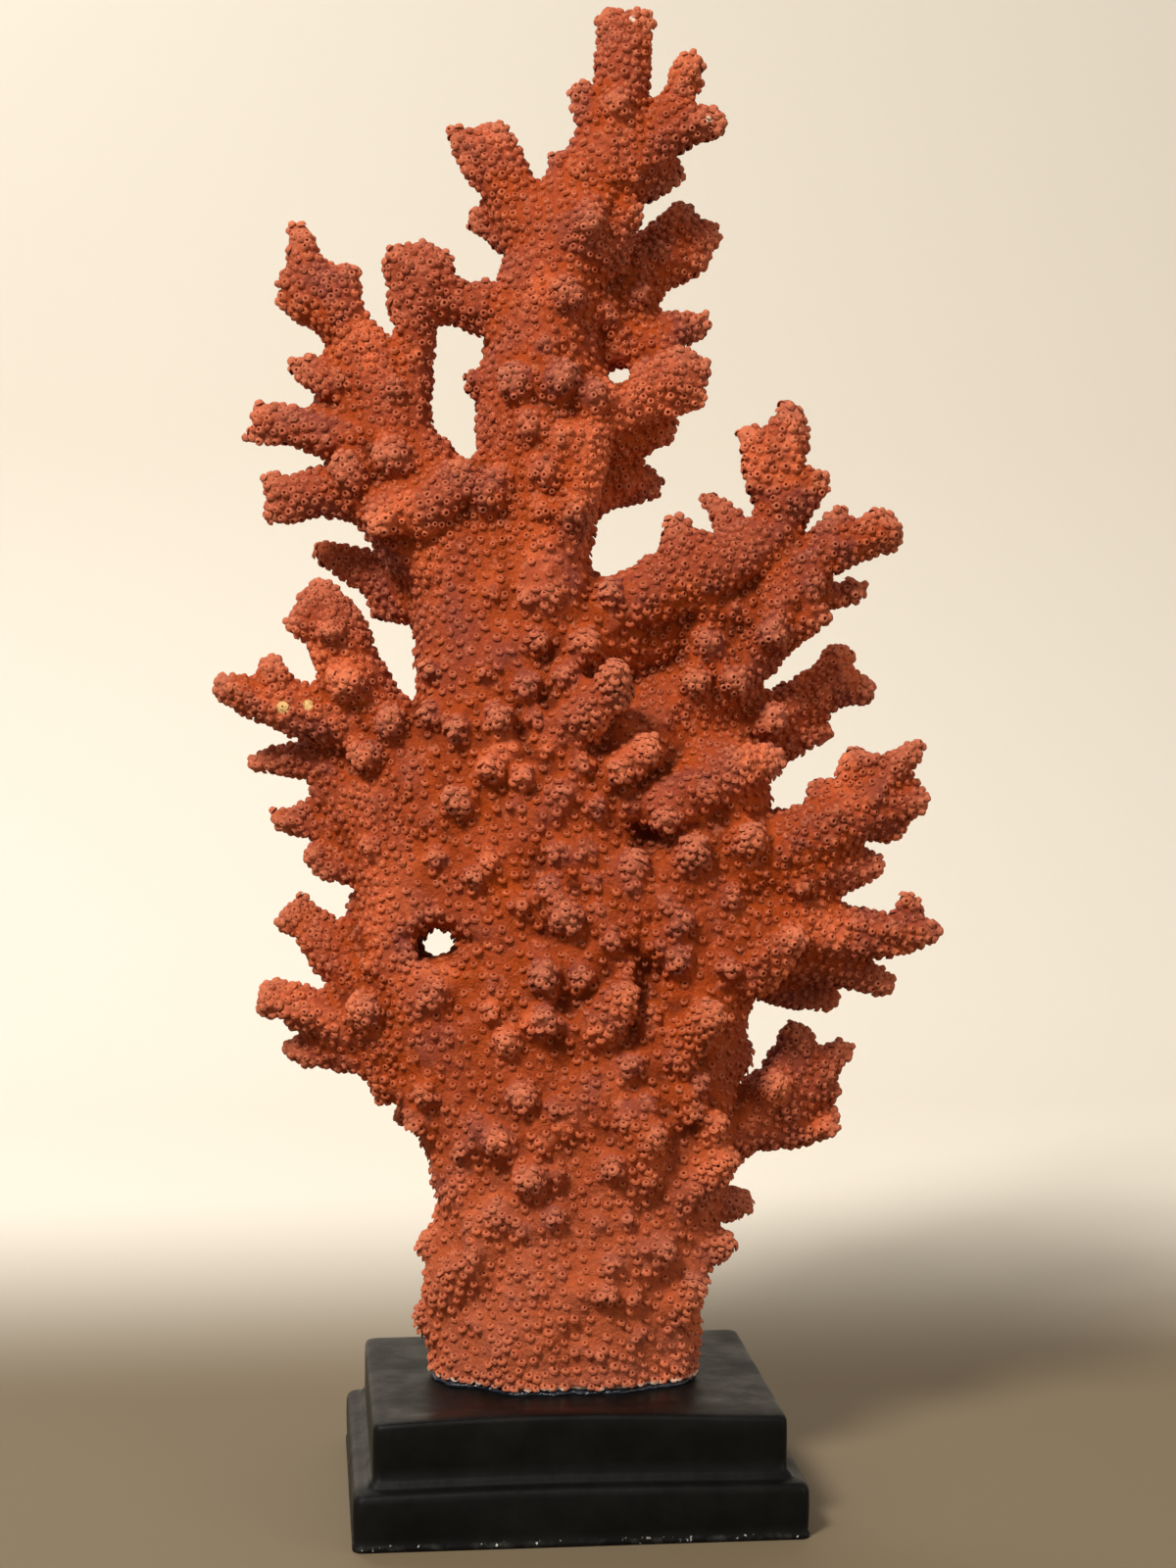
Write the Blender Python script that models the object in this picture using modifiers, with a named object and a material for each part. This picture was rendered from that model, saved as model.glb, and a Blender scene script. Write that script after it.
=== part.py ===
"""A branching coral colony on a two-step plinth.

Metres, +Z up. The origin is the middle of the plinth's underside, +X is to the right along the plinth's
long side and +Y is away from the front. The colony is a fan of fused limbs, made whole and then parted
at its main forks.
"""

import math
import random

import bmesh
import bpy
from mathutils import Matrix, Vector
from mathutils.bvhtree import BVHTree

MM = 0.001

# Driving dimensions, in millimetres.
LOWER_STEP = (178.0, 141.0, 22.0)
UPPER_STEP = (162.0, 122.0, 24.5)
STEP_CORNER = 4.0
STEP_EDGE = 1.8
STEP_COVE = 3.0
BASE_INSET = 0.5
BASE_INSET_HEIGHT = 0.6
ADHESIVE_BED = (107.0, 59.0, 1.4)
ADHESIVE_FORWARDS = 1.0
GAP = 0.3

# How far the fan is turned on the plinth, in degrees.
FAN_TURN = -6.3

# The fan is measured from the front, across and up in its own plane. A point's depth moves it along
# the line of sight from this eye, so that it stays where the front view has it.
EYE = Vector((7.0, -1066.0, 369.0))

# How the limbs are fused: the stems first, softened into one mass, then the fingers on it, then the nubs
# on both. The skin is thinned before it is parted.
MASS_CELL = 2.5
MASS_PASSES = 12
SKIN_CELL = 1.7
SKIN_PASSES = 4
NUB_PASSES = 4
SKIN_TRIANGLES = 7600

# Short nubs stand all over the front and the back, at most one in each square of this size, but not on
# the limbs' outlines and not close to a fork or a hole. They are lower near the foot, and smaller where the
# fan is thin. The kinds are (root radius, tip radius, how far the tip's centre is out of the skin).
NUB_SQUARE = 16.5
NUB_COLUMNS = range(-10, 11)
NUB_ROWS = range(4, 40)
NUB_STRAY = 0.35
NUB_SEED = 5
NUB_THICK = (8.0, 5.0, 3.0)
NUB_THIN = (5.0, 3.2, 0.8)
NUB_THIN_BELOW = 22.0
NUB_FACING = 0.6
NUB_SIZES = (0.55, 1.3)
NUB_THIN_LARGEST = 1.0
NUB_SHARE = 0.8
NUB_LOW_BELOW = 130.0
NUB_LOW_SIZE = 0.7
NUB_TO_FORK = 8.0
NUB_TO_HOLE = 16.0

# A nub's tip is this share of its tip radius above its root. It leans outwards by a part of that: the first
# value in the middle of the fan, and one more for each NUB_LEAN_WIDTH to the side, between the two limits.
NUB_RISE = 0.7
NUB_LEAN = 0.25
NUB_LEAN_WIDTH = 120.0
NUB_LEAN_LIMITS = (-0.5, 0.7)

# More than the depth of the whole fan, and a block wider and deeper than all of it, for what is cut away.
FAN_DEPTH = 160.0
CUT_BLOCK = (300.0, 300.0, 100.0)

PLINTH_TOP = LOWER_STEP[2] + UPPER_STEP[2]
FOOT = PLINTH_TOP + GAP + ADHESIVE_BED[2] + GAP

# Each limb is a run of stations (across, depth, up, radius) in millimetres.
TRUNK = {
    "left_stem": [(-36, 1, 44, 20), (-37, 0, 90, 20), (-30, 0, 130, 21), (-44, 0, 170, 25),
                  (-57, 0, 210, 25), (-62, 2, 250, 24), (-70, 2, 285, 21)],
    "left_middle_stem": [(-14, -3, 44, 28), (-12, -3, 90, 27), (-12, -1, 130, 27), (-19, 0, 180, 29),
                         (-26, 0, 230, 29), (-31, 0, 280, 28), (-35, 0, 330, 27), (-39, 2, 370, 24)],
    "right_middle_stem": [(13, 0, 44, 28), (14, 0, 90, 27), (12, 0, 140, 27), (10, 2, 190, 29),
                          (5, 2, 240, 30), (0, 2, 290, 29), (-8, 2, 340, 25), (-17, 2, 385, 22)],
    "right_stem": [(34, 2, 44, 19), (37, 0, 90, 19), (39, 0, 130, 21), (46, 0, 170, 22), (50, 0, 210, 25),
                   (55, 2, 250, 25), (56, 2, 290, 24)],
    "foot_flare": [(-44, 2, 47, 12), (0, 8, 47, 23), (42, 4, 47, 12)],
    "left_nub_low": [(-51, -2, 70, 11), (-58, -4, 71, 6)],
    "left_nub_high": [(-47, -4, 98, 11), (-58, -7, 100, 6)],
    "left_nub_top": [(-40, -6, 129, 11), (-52, -10, 129, 6)],
    "right_nub_low": [(45, 0, 78, 11), (51, -3, 80, 6)],
    "right_stub": [(48, -5, 99, 11), (65, -8, 102, 6.5)],
    "right_rear_nub": [(62, 8, 119, 9), (74, 12, 119, 5)],
    "right_front_nub": [(43, -10, 122, 13), (62, -17, 137, 9)],
    "right_shoulder": [(54, 2, 174, 15), (67, 4, 180, 9)],
}

TRUNK_RIDGES = {
    "foot_ridge": [(-22, -17, 60, 15), (4, -18, 82, 14), (30, -14, 104, 13)],
    "low_ridge": [(-38, -13, 92, 12), (-24, -18, 112, 11)],
    "left_ridge": [(-40, -12, 122, 12), (-38, -17, 144, 10)],
    "middle_ridge": [(-20, -16, 148, 14), (8, -18, 164, 13), (36, -16, 182, 11)],
    "lower_tip_ridge": [(26, -15, 154, 11), (46, -19, 167, 8)],
    "bright_mound": [(24, -14, 130, 14), (29, -20, 140, 11)],
    "high_ridge": [(-40, -12, 192, 14), (-8, -18, 214, 13), (26, -17, 240, 13), (54, -12, 264, 12)],
    "top_ridge": [(-44, -11, 250, 14), (-16, -16, 272, 13), (12, -16, 292, 11)],
    "left_mound": [(-60, -10, 194, 13), (-57, -17, 203, 10)],
    "left_upper_mound": [(-64, -9, 288, 12), (-62, -14, 295, 9)],
    "bright_ridge": [(-37, -12, 322, 13), (-30, -18, 334, 12), (-20, -16, 350, 11)],
    "leader_ridge": [(-8, -12, 340, 12), (-6, -14, 372, 12)],
    "back_low_ridge": [(28, 14, 78, 14), (2, 19, 100, 14), (-26, 14, 124, 13)],
    "back_high_ridge": [(38, 14, 196, 14), (4, 19, 222, 14), (-32, 15, 250, 13)],
    "back_top_ridge": [(30, 13, 300, 14), (-4, 18, 322, 13)],
}

TRUNK_KNOBS = {
    "high_knob": [(19, -18, 296, 9), (31, -27, 305, 6.3)],
    "tall_knob": [(-6, -18, 308, 12), (6, -26, 319, 10), (16, -31, 327, 7.5)],
    "bright_tip": [(29, -22, 139, 9), (34, -30, 147, 6.5)],
    "ridge_tip": [(36, -20, 182, 8), (51, -26, 190, 6)],
    "lower_ridge_tip": [(44, -20, 165, 7), (54, -25, 169, 5)],
    "left_ridge_tip": [(-38, -19, 143, 8), (-36, -25, 150, 6)],
    "left_mound_tip": [(-61, -18, 199, 8), (-55, -25, 205, 6)],
    "low_ridge_tip": [(-34, -18, 107, 10), (-28, -26, 115, 7)],
    "middle_tip": [(0, -20, 231, 9), (11, -28, 239, 5.5)],
    "middle_high_tip": [(-3, -20, 254, 8), (6, -27, 263, 5.3)],
    "middle_right_tip": [(15, -20, 250, 9), (26, -27, 258, 6)],
    "centre_tip": [(-21, -19, 214, 8), (-12, -27, 222, 5)],
    "centre_low_tip": [(-15, -20, 197, 8), (-8, -26, 204, 5)],
    "centre_high_tip": [(-32, -19, 296, 8), (-26, -26, 304, 6)],
    "centre_mound": [(-11, -20, 277, 10), (-3, -26, 287, 7)],
    "fork_tip": [(-17, -18, 358, 8), (-9, -26, 366, 5.8)],
    "right_tip": [(34, -18, 227, 9), (44, -26, 235, 6.3)],
    "heart_tip": [(6, -19, 185, 9), (16, -26, 195, 6.3)],
    "waist_tip": [(-5, -20, 149, 9), (2, -26, 156, 6)],
    "waist_right_tip": [(8, -20, 151, 9), (15, -25, 159, 5.5)],
    "side_tip": [(-48, -10, 84, 11), (-42, -18, 92, 8)],
    "low_right_tip": [(43, -10, 77, 10), (51, -15, 84, 7)],
    "low_middle_tip": [(30, -16, 93, 9), (38, -22, 100, 6)],
    "back_knob_left": [(-44, 18, 180, 11), (-52, 30, 190, 7)],
    "back_knob_right": [(34, 18, 150, 12), (40, 32, 162, 7)],
    "back_knob_middle": [(-4, 22, 168, 12), (-8, 36, 182, 7)],
    "back_knob_low": [(-20, 20, 92, 12), (-26, 33, 98, 7)],
    "back_knob_high": [(10, 22, 268, 12), (12, 37, 281, 7.5)],
    "back_knob_top": [(-30, 20, 336, 12), (-34, 34, 348, 7)],
}

LEADER = {
    "leader_stem": [(-10, 2, 340, 25), (-17, 2, 385, 22), (-16, 3, 410, 22), (-14, 3, 430, 24),
                    (-13, 3, 447, 24), (-12, 4, 466, 22.5), (-9, 4, 486, 20), (-3, 4, 505, 18.5)],
    "leader_side": [(-38, 1, 370, 22), (-34, 1, 400, 19)],
    "leader_ridge": [(-14, -15, 366, 12), (-4, -13, 396, 12), (4, -11, 428, 11)],
    "hole_nub": [(-26, 2, 443, 10), (-38, 0, 448, 5)],
    "right_mass": [(6, 0, 438, 17), (24, -3, 444, 12), (42, -5, 457, 8), (50, -4, 456, 5)],
    "right_mass_low_tip": [(26, -3, 444, 10), (48, -6, 446, 5.5)],
    "overhang": [(14, 6, 430, 14), (34, 10, 434, 8)],
    "rear_right_thumb": [(4, 10, 412, 15), (20, 14, 411, 9), (31, 16, 411, 6)],
    "right_shoulder_knob": [(-4, 0, 388, 13), (2, -4, 396, 8)],
    "rear_branch": [(8, 14, 478, 15), (20, 20, 487, 13), (32, 24, 500, 11), (41, 27, 511, 8),
                    (44, 29, 518, 4.8)],
    "rear_branch_side": [(38, 25, 501, 9), (54, 28, 510, 5)],
    "rear_branch_bump": [(40, 24, 497, 8), (50, 24, 500, 5)],
    "rear_finger": [(20, 14, 468, 13), (38, 16, 471, 7), (50, 17, 474, 5)],
    "rear_web": [(18, 10, 466, 11), (36, 10, 462, 7)],
    "back_knob": [(-10, 16, 436, 12), (-6, 33, 448, 7)],
    "back_knob_upper": [(-8, 14, 470, 11), (-14, 28, 480, 6)],
}

CROWN = {
    "crown_stem": [(-9, 4, 486, 21), (-3, 4, 505, 19), (5, 3, 522, 17.5), (13, 2, 537, 15.5),
                   (18, 1, 550, 12.5), (18.5, 0, 562, 10.3), (19, -1, 581, 9.8), (14, -1, 591, 6)],
    "crown_second_tip": [(20, -1, 580, 9), (25, -2, 591, 6.3)],
    "left_nub": [(8, -2, 552, 7), (2, -4, 564, 4.8)],
    "left_stub": [(2, 0, 526, 9), (-7.5, -3, 537, 4.8)],
    "right_branch": [(21, 2, 535, 12), (33, 0, 547, 9.5), (39, -2, 557, 6.8), (43, -3, 567, 6),
                     (45.5, -3, 576, 6)],
    "right_finger": [(33, 0, 547, 9), (45, -4, 552, 7), (53, -6, 553, 6.8)],
    "right_stub": [(26, 4, 531, 10), (39, 7, 533, 5.3)],
    "lower_right_lobe": [(9, 0, 505, 14), (17, -4, 514, 9), (22, -6, 518, 5.8)],
    "front_lobe": [(2, -8, 508, 12), (6, -15, 518, 7)],
    "left_branch": [(-10, 4, 507, 15), (-22, 4, 520, 11), (-30, 3, 533, 9.5), (-32, 2, 546, 7)],
    "left_branch_shoulder": [(-26, 4, 529, 8), (-23, 5, 537, 4.5)],
    "left_branch_tip": [(-33, 2, 532, 8), (-44, -2, 545, 5), (-48, -3, 550, 3.8)],
    "left_low_stub": [(-22, 8, 509, 9), (-39, 12, 515, 4.8)],
    "back_stub": [(10, 10, 528, 10), (14, 24, 536, 5.5)],
}

UPPER_LEFT = {
    "bough": [(-39, 2, 370, 24), (-48, 2, 392, 23), (-62, 0, 408, 20), (-72, -1, 425, 16),
              (-76, -2, 441, 14), (-82, -3, 457, 12.5), (-91, -4, 472, 9.5), (-99, -5, 486, 10),
              (-107, -6, 495, 7), (-109, -8, 509, 5)],
    "outer_right_lobe": [(-94, -5, 482, 8), (-90, -7, 492, 4.8)],
    "outer_left_upper_lobe": [(-105, -6, 488, 8), (-114, -8, 492, 4)],
    "outer_left_lower_lobe": [(-103, -5, 479, 8), (-115, -4, 482, 3.8)],
    "upper_finger": [(-86, -3, 448, 11), (-104, -6, 454, 6.3), (-111, -7, 457, 4.2)],
    "pronged_finger": [(-82, -2, 428, 13), (-101, -6, 430, 9), (-119, -9, 435, 6), (-126, -10, 438, 4)],
    "pronged_finger_low_tip": [(-120, -9, 430, 5), (-130, -9, 427, 3.2)],
    "pronged_finger_bump": [(-97, 2, 434, 8), (-100, 6, 441, 4.8)],
    "lower_finger": [(-74, -2, 408, 15), (-99, -5, 406, 9.5), (-113, -8, 405, 7.5), (-121, -9, 410, 4.5)],
    "lower_finger_low_tip": [(-110, -8, 402, 7), (-119, -8, 398, 4.6)],
    "club": [(-69, -2, 436, 12), (-66, -2, 450, 9), (-63, -3, 467, 7.3), (-63, -4, 481, 10.5),
             (-62, -5, 494, 10.5)],
    "club_left_lobe": [(-65, -5, 492, 7), (-73, -8, 496, 4.2)],
    "club_middle_lobe": [(-62, -5, 495, 8), (-60.5, -7, 502, 4.8)],
    "club_right_lobe": [(-60, -5, 492, 8), (-52, -6, 499, 4.5)],
    "bridge": [(-57, -3, 486, 10), (-44, -1, 481, 8.3), (-33, 1, 478, 9.3), (-20, 3, 474, 12)],
    "bridge_knob": [(-36, -1, 482, 7), (-37, -3, 487, 4.5)],
    "side_nub": [(-64, -2, 385, 13), (-78, -7, 392, 5.8)],
    "rear_finger": [(-54, 12, 368, 14), (-75, 18, 372, 9.3), (-91, 21, 378.5, 6.3), (-102, 22, 383.5, 3.8)],
    "rear_finger_root": [(-62, 14, 363, 10), (-76, 18, 361, 5.5)],
    "front_ridge": [(-74, -14, 400, 9), (-58, -19, 400, 10), (-46, -20, 412, 8)],
    "back_knob": [(-60, 12, 404, 11), (-64, 27, 414, 6.5)],
}

MIDDLE_LEFT = {
    "bough": [(-50, 0, 280, 24), (-62, 0, 298, 20), (-74, -2, 308, 16.5), (-83, -5, 322, 13),
              (-90, -7, 337, 12.3), (-94.5, -8, 351, 11.7), (-99, -9, 361.5, 8), (-101, -9, 366.5, 5.3)],
    "left_lobe": [(-100, -9, 351, 8), (-110, -12, 355, 5.2)],
    "left_upper_lobe": [(-99, -4, 358, 6.5), (-106, -2, 364, 4.2)],
    "long_finger": [(-90, -6, 316, 12.5), (-113, -9, 319, 9.5), (-129, -10, 324, 7.3),
                    (-139, -10, 328, 5.6)],
    "long_finger_lobe": [(-116, -9, 325, 7.3), (-121, -11, 336, 5.2)],
    "pointed_finger": [(-86, 4, 299, 13), (-111, 7, 299, 6.8), (-127, 8, 297.5, 3.8)],
    "web": [(-72, 0, 284, 19), (-84, 3, 287, 14), (-97, 5, 288, 8.5)],
    "round_finger": [(-80, 4, 274, 13), (-105, 8, 273, 5.2), (-118, 9, 274.5, 4.4)],
    "low_finger": [(-70, 0, 256, 14), (-90, 1, 257, 7.2), (-103, 2, 260, 4.8)],
    "low_finger_lobe": [(-94, 0, 256, 6), (-100, -2, 254, 3.8)],
    "back_knob": [(-66, 12, 292, 12), (-74, 27, 300, 6.5)],
}

LOWER_LEFT = {
    "bough": [(-52, 0, 196, 25), (-70, 1, 204, 18), (-91, 3, 217, 11.3), (-103, 4, 229, 8.7),
              (-110, 4, 235, 6), (-108, 4, 242, 3.5)],
    "outer_tip": [(-106, 4, 232, 6.5), (-115.5, 4, 232, 3.8)],
    "inner_finger": [(-73, 4, 221, 12), (-85, 7, 236, 5.6), (-87, 7, 241, 4)],
    "thick_finger": [(-68, -2, 188, 17), (-95, -6, 193, 10.4), (-111, -9, 199, 8), (-121, -10, 203, 5.6)],
    "thick_finger_upper_tip": [(-112, -9, 201, 6.5), (-117, -10, 205.5, 4.8)],
    "thick_finger_lower_tip": [(-116, -9, 199, 6), (-124, -9, 198, 3.8)],
    "pointed_finger": [(-82, -1, 184, 12), (-103, -1, 180.5, 6.7), (-114, -1, 182, 3.6)],
    "under_stub": [(-60, -4, 170, 15), (-78, -7, 173, 6.7), (-83, -8, 174.5, 4.2)],
    "under_stub_lobe": [(-68, -6, 168, 8), (-76, -8, 163, 4.3)],
    "rear_stub": [(-48, 10, 158, 13), (-62, 15, 155.5, 6.2), (-67.5, 16, 155, 4.6)],
    "back_knob": [(-72, 12, 200, 12), (-84, 25, 210, 6)],
}

UPPER_RIGHT = {
    "upper_bough": [(-8, -2, 338, 22), (14, -6, 358, 14.5), (33, -9, 368, 12.5), (50, -9, 375, 12),
                    (67, -6, 382, 11), (83, -2, 392, 8.3), (83, -1, 404, 9.5), (81, -2, 416, 10.5),
                    (86, -4, 430, 8.3), (87, -4, 437, 5.6), (85.5, -4, 442, 3.8)],
    "middle_bough": [(4, 4, 340, 17), (26, 3, 347, 13), (48, 2, 355, 11.5), (70, 1, 363, 11),
                     (90, 0, 368, 8.5)],
    "lower_bough": [(14, 2, 300, 25), (38, 7, 318, 20), (58, 6, 334, 16.5), (78, 3, 351, 12),
                    (92, 0, 362, 9)],
    "crest_left_lobe": [(79, -3, 418, 8), (72, -6, 427, 5.2), (70, -6, 431, 4.4)],
    "crest_left_root": [(80, -3, 408, 8), (73, -6, 416, 5)],
    "crest_right_lobe": [(88, -3, 405, 8.5), (98, -7, 411.5, 5.5)],
    "crest_right_low": [(87, -2, 400, 7), (96, -5, 404, 4)],
    "rear_stub": [(72, 10, 384, 9), (62, 15, 396, 6), (55, 17, 404.5, 3.8)],
    "inner_finger": [(45, -9, 373, 11), (44, -11, 386, 8), (42, -11, 395, 4.8)],
    "inner_finger_shoulder": [(47, -10, 382, 7), (51, -11, 389, 4)],
    "outer_trident": [(84, -2, 370, 11.5), (101, -5, 384, 8), (107, -7, 399, 4.5)],
    "outer_trident_middle": [(104, -5, 383, 8), (118, -8, 390, 6.2), (125, -9, 398, 4.3)],
    "outer_trident_low": [(114, -7, 386, 6.5), (129, -8, 389, 4.2)],
    "side_finger": [(90, 0, 365, 9), (105, 3, 367, 5), (115, 4, 368, 4.5)],
    "low_nub": [(82, -3, 353, 10), (96, -8, 357, 5.3), (100, -9, 358.5, 4.4)],
    "front_knob": [(84, -6, 364, 9), (97, -12, 371, 4.8)],
    "rear_fork": [(46, 8, 312, 19), (66, 13, 316, 14), (82, 17, 316, 12), (96, 20, 325, 9),
                  (105, 22, 332, 8.5), (107, 23, 341, 6)],
    "rear_fork_top": [(107, 23, 339, 6), (111, 23, 342, 4)],
    "rear_fork_tip": [(104, 22, 329, 8), (118, 24, 328.5, 5.2)],
    "rear_fork_low": [(82, 16, 309, 10), (96, 18, 310.5, 5.8), (103, 19, 311, 3.8)],
    "back_knob": [(44, 10, 352, 12), (48, 27, 362, 6.5)],
}

MIDDLE_RIGHT = {
    "bough": [(52, 0, 256, 22), (78, -4, 260, 16.5), (101, -8, 270, 13), (117, -9, 281, 11),
              (125, -10, 288, 9)],
    "gap_stub": [(104, -6, 282, 6.5), (101, -3, 290, 4.3)],
    "upright_finger": [(113, -9, 287, 7.5), (114.5, -10, 301.5, 4.3)],
    "long_finger": [(125, -10, 291, 8), (133, -11, 299, 5.7), (139.5, -11, 305.5, 3.9)],
    "small_spur": [(130, -8, 289, 5.5), (138, -7, 291.5, 2.9)],
    "round_finger": [(125, -10, 281, 9), (140, -12, 283, 5.8)],
    "round_finger_low": [(122, -8, 276, 8), (131, -8, 272, 4.8)],
    "low_finger": [(86, -3, 254, 15), (110, -5, 256, 9.5), (122.5, -6, 257.5, 5.2)],
    "pointed_branch": [(64, 0, 234, 22), (82, -2, 238, 16.5), (107, -4, 230, 11), (127, -5, 229, 8.5),
                       (137, -6, 230, 7.3), (149, -7, 231, 3.7)],
    "pointed_branch_nub": [(135, -6, 235, 4.5), (137, -7, 240, 3.3)],
    "pointed_branch_low": [(92, 2, 222, 12), (108, 4, 218, 9), (123, 5, 212, 6), (128, 5, 209, 4.8)],
    "front_nub": [(74, -12, 214, 12), (91, -24, 228, 6)],
    "rear_thumb": [(70, 10, 218, 13), (92, 19, 208, 8.7), (106, 24, 203, 4.3)],
    "front_ridge": [(40, -18, 282, 12), (66, -17, 296, 9), (80, -9, 300, 7)],
    "back_knob": [(70, 12, 252, 13), (80, 28, 262, 6.5)],
}

LOWER_RIGHT = {
    "fan_root": [(42, 6, 140, 18), (67, 11, 150.5, 13.2), (86, 13, 163, 12.3), (91, 13, 174, 10.3),
                 (93, 12, 185, 6.8), (90.5, 12, 190, 4.3)],
    "fan_second_tip": [(97, 13, 171, 8), (107, 14, 180, 5.9), (112.5, 14, 182, 4.6)],
    "fan_third_tip": [(96, 13, 165, 8), (108, 14, 165, 3.8)],
    "fan_fourth_tip": [(81, 12, 150, 9.3), (96, 12, 149, 6.4), (106, 12, 151, 4.2)],
}

# Where light passes through the fan, as (across, up, half width, half height). Each hole is waisted: it
# widens by these factors towards both sides, at these depths.
THROUGH_HOLES = {"left_hole": (-53, 225, 7.8, 6.2), "leader_hole": (19, 453.5, 5.6, 4.8)}
HOLE_FLARE = ((-30, 2.2), (-14, 1.2), (0, 1.0), (14, 1.2), (30, 2.2))

# The branches that part from the trunk, each with an outline (across, up) round all of it in the
# front view. The side that crosses the limb is its fork, where GAP is kept free.
BRANCHES = {
    "crown": [(-30, 497), (9, 494.5), (14, 496.5), (22, 505.5), (31, 516), (40, 525), (44, 528.5),
              (70, 528.5), (80, 640), (-80, 640), (-80, 508.5), (-40, 508.5)],
    "upper_left_branch": [(-32, 520), (-32, 466), (-50, 462), (-50, 432), (-46, 424), (-42, 350),
                          (-78, 350), (-84, 358), (-89, 365.5), (-93, 369.2), (-97, 372.6), (-101, 375),
                          (-112, 379), (-150, 390), (-150, 530)],
    "middle_left_branch": [(-62, 316), (-75, 376), (-160, 392), (-160, 248), (-75, 248), (-62, 262)],
    "lower_left_branch": [(-66, 232), (-80, 247.5), (-140, 247.5), (-140, 168), (-66, 168)],
    "upper_right_branch": [(30, 326), (56, 298), (92, 298), (108, 306), (112, 314), (145, 318), (145, 425),
                           (70, 462), (60, 460), (60, 425), (50, 412), (40, 403), (30, 398)],
    "middle_right_branch": [(76, 194.5), (76, 270), (92, 314), (165, 320), (165, 192), (104, 192)],
    "lower_right_branch": [(73, 130), (73, 165), (78.5, 178), (82, 194.5), (98, 194.5), (104, 192),
                           (125, 192), (130, 130)],
    "leader": [(-60, 385), (60, 385), (75, 400), (75, 545), (-60, 545)],
}


def material(name, colour, roughness):
    made = bpy.data.materials.new(name)
    made.use_nodes = True
    shader = made.node_tree.nodes["Principled BSDF"]
    shader.inputs["Base Color"].default_value = (*colour, 1.0)
    shader.inputs["Roughness"].default_value = roughness
    shader.inputs["Metallic"].default_value = 0.0
    return made


def object_from(name, work, collection):
    """A new object that takes over the bmesh."""
    mesh = bpy.data.meshes.new(name)
    work.to_mesh(mesh)
    work.free()
    made = bpy.data.objects.new(name, mesh)
    collection.objects.link(made)
    return made


def hidden(helper):
    """Marks an object that only shapes others."""
    helper.hide_render = True
    helper.display_type = "WIRE"
    return helper


def placed(station):
    """A station moved along its line of sight to its depth, in metres, with its radius to match."""
    across, depth, up, radius = station
    flat = Vector((across, 0.0, up))
    stretch = 1.0 - depth / EYE.y
    return (EYE + (flat - EYE) * stretch) * MM, radius * stretch * MM


def add_run(work, run):
    """Balls at the (centre, radius) pairs, with a tapered cone between each two.

    They are made in a small bmesh of their own and then added, because each operator goes through all of
    the bmesh that it works in.
    """
    limb = bmesh.new()
    for centre, radius in run:
        bmesh.ops.create_icosphere(limb, subdivisions=3, radius=radius, matrix=Matrix.Translation(centre))
    for (low, low_radius), (high, high_radius) in zip(run, run[1:]):
        along = high - low
        turn = along.to_track_quat("Z", "Y").to_matrix().to_4x4()
        bmesh.ops.create_cone(limb, cap_ends=True, segments=24, radius1=low_radius, radius2=high_radius,
                              depth=along.length, matrix=Matrix.Translation((low + high) / 2) @ turn)
    mesh = bpy.data.meshes.new("limb")
    limb.to_mesh(mesh)
    limb.free()
    work.from_mesh(mesh)
    bpy.data.meshes.remove(mesh)


def add_limb(work, stations):
    add_run(work, [placed(station) for station in stations])


def near_opening(across, up):
    """Whether a point of the fan's plane is too close for a nub to a fork or to a hole."""
    point = Vector((across, up))
    for hole_across, hole_up, _, _ in THROUGH_HOLES.values():
        if (Vector((hole_across, hole_up)) - point).length < NUB_TO_HOLE:
            return True
    for outline in BRANCHES.values():
        corners = [Vector(corner) for corner in outline]
        for first, second in zip(corners, corners[1:] + corners[:1]):
            along = second - first
            share = max(0.0, min(1.0, (point - first).dot(along) / along.length_squared))
            if (first + along * share - point).length < NUB_TO_FORK:
                return True
    return False


def add_nubs(work, surface):
    """Short nubs on whatever faces the front or the back, in rows that are half a square out of step."""
    chance = random.Random(NUB_SEED)
    tree = BVHTree.FromBMesh(surface)
    for side in (-1, 1):
        for row in NUB_ROWS:
            for column in NUB_COLUMNS:
                across = (column + chance.uniform(-NUB_STRAY, NUB_STRAY) + row % 2 / 2) * NUB_SQUARE
                up = (row + chance.uniform(-NUB_STRAY, NUB_STRAY)) * NUB_SQUARE
                size = chance.uniform(*NUB_SIZES)
                left_out = chance.random() > NUB_SHARE
                if left_out or near_opening(across, up):
                    continue
                start = Vector((across, side * FAN_DEPTH / 2, up)) * MM
                hit, normal, _, _ = tree.ray_cast(start, Vector((0, -side, 0)))
                if hit is not None and normal.y * side >= NUB_FACING:
                    far_start = Vector((start.x, -start.y, start.z))
                    far_hit, _, _, _ = tree.ray_cast(far_start, Vector((0, side, 0)))
                    add_nub(work, hit, normal, size, (hit - far_hit).length)


def add_nub(work, foot, normal, size, thickness):
    """One nub that leans upwards and to the fan's side, where the fan has this thickness."""
    root, tip, lift = NUB_THICK
    if thickness < NUB_THIN_BELOW * MM:
        root, tip, lift = NUB_THIN
        size = min(size, NUB_THIN_LARGEST)
    if foot.z < NUB_LOW_BELOW * MM:
        size *= NUB_LOW_SIZE
    least, most = NUB_LEAN_LIMITS
    lean = max(least, min(most, NUB_LEAN + foot.x / (NUB_LEAN_WIDTH * MM)))
    rise = Vector((lean, 0, 1)) * tip * NUB_RISE + normal * lift
    add_run(work, [(foot - normal * root * MM, root * size * MM), (foot + rise * size * MM, tip * size * MM)])


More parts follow.
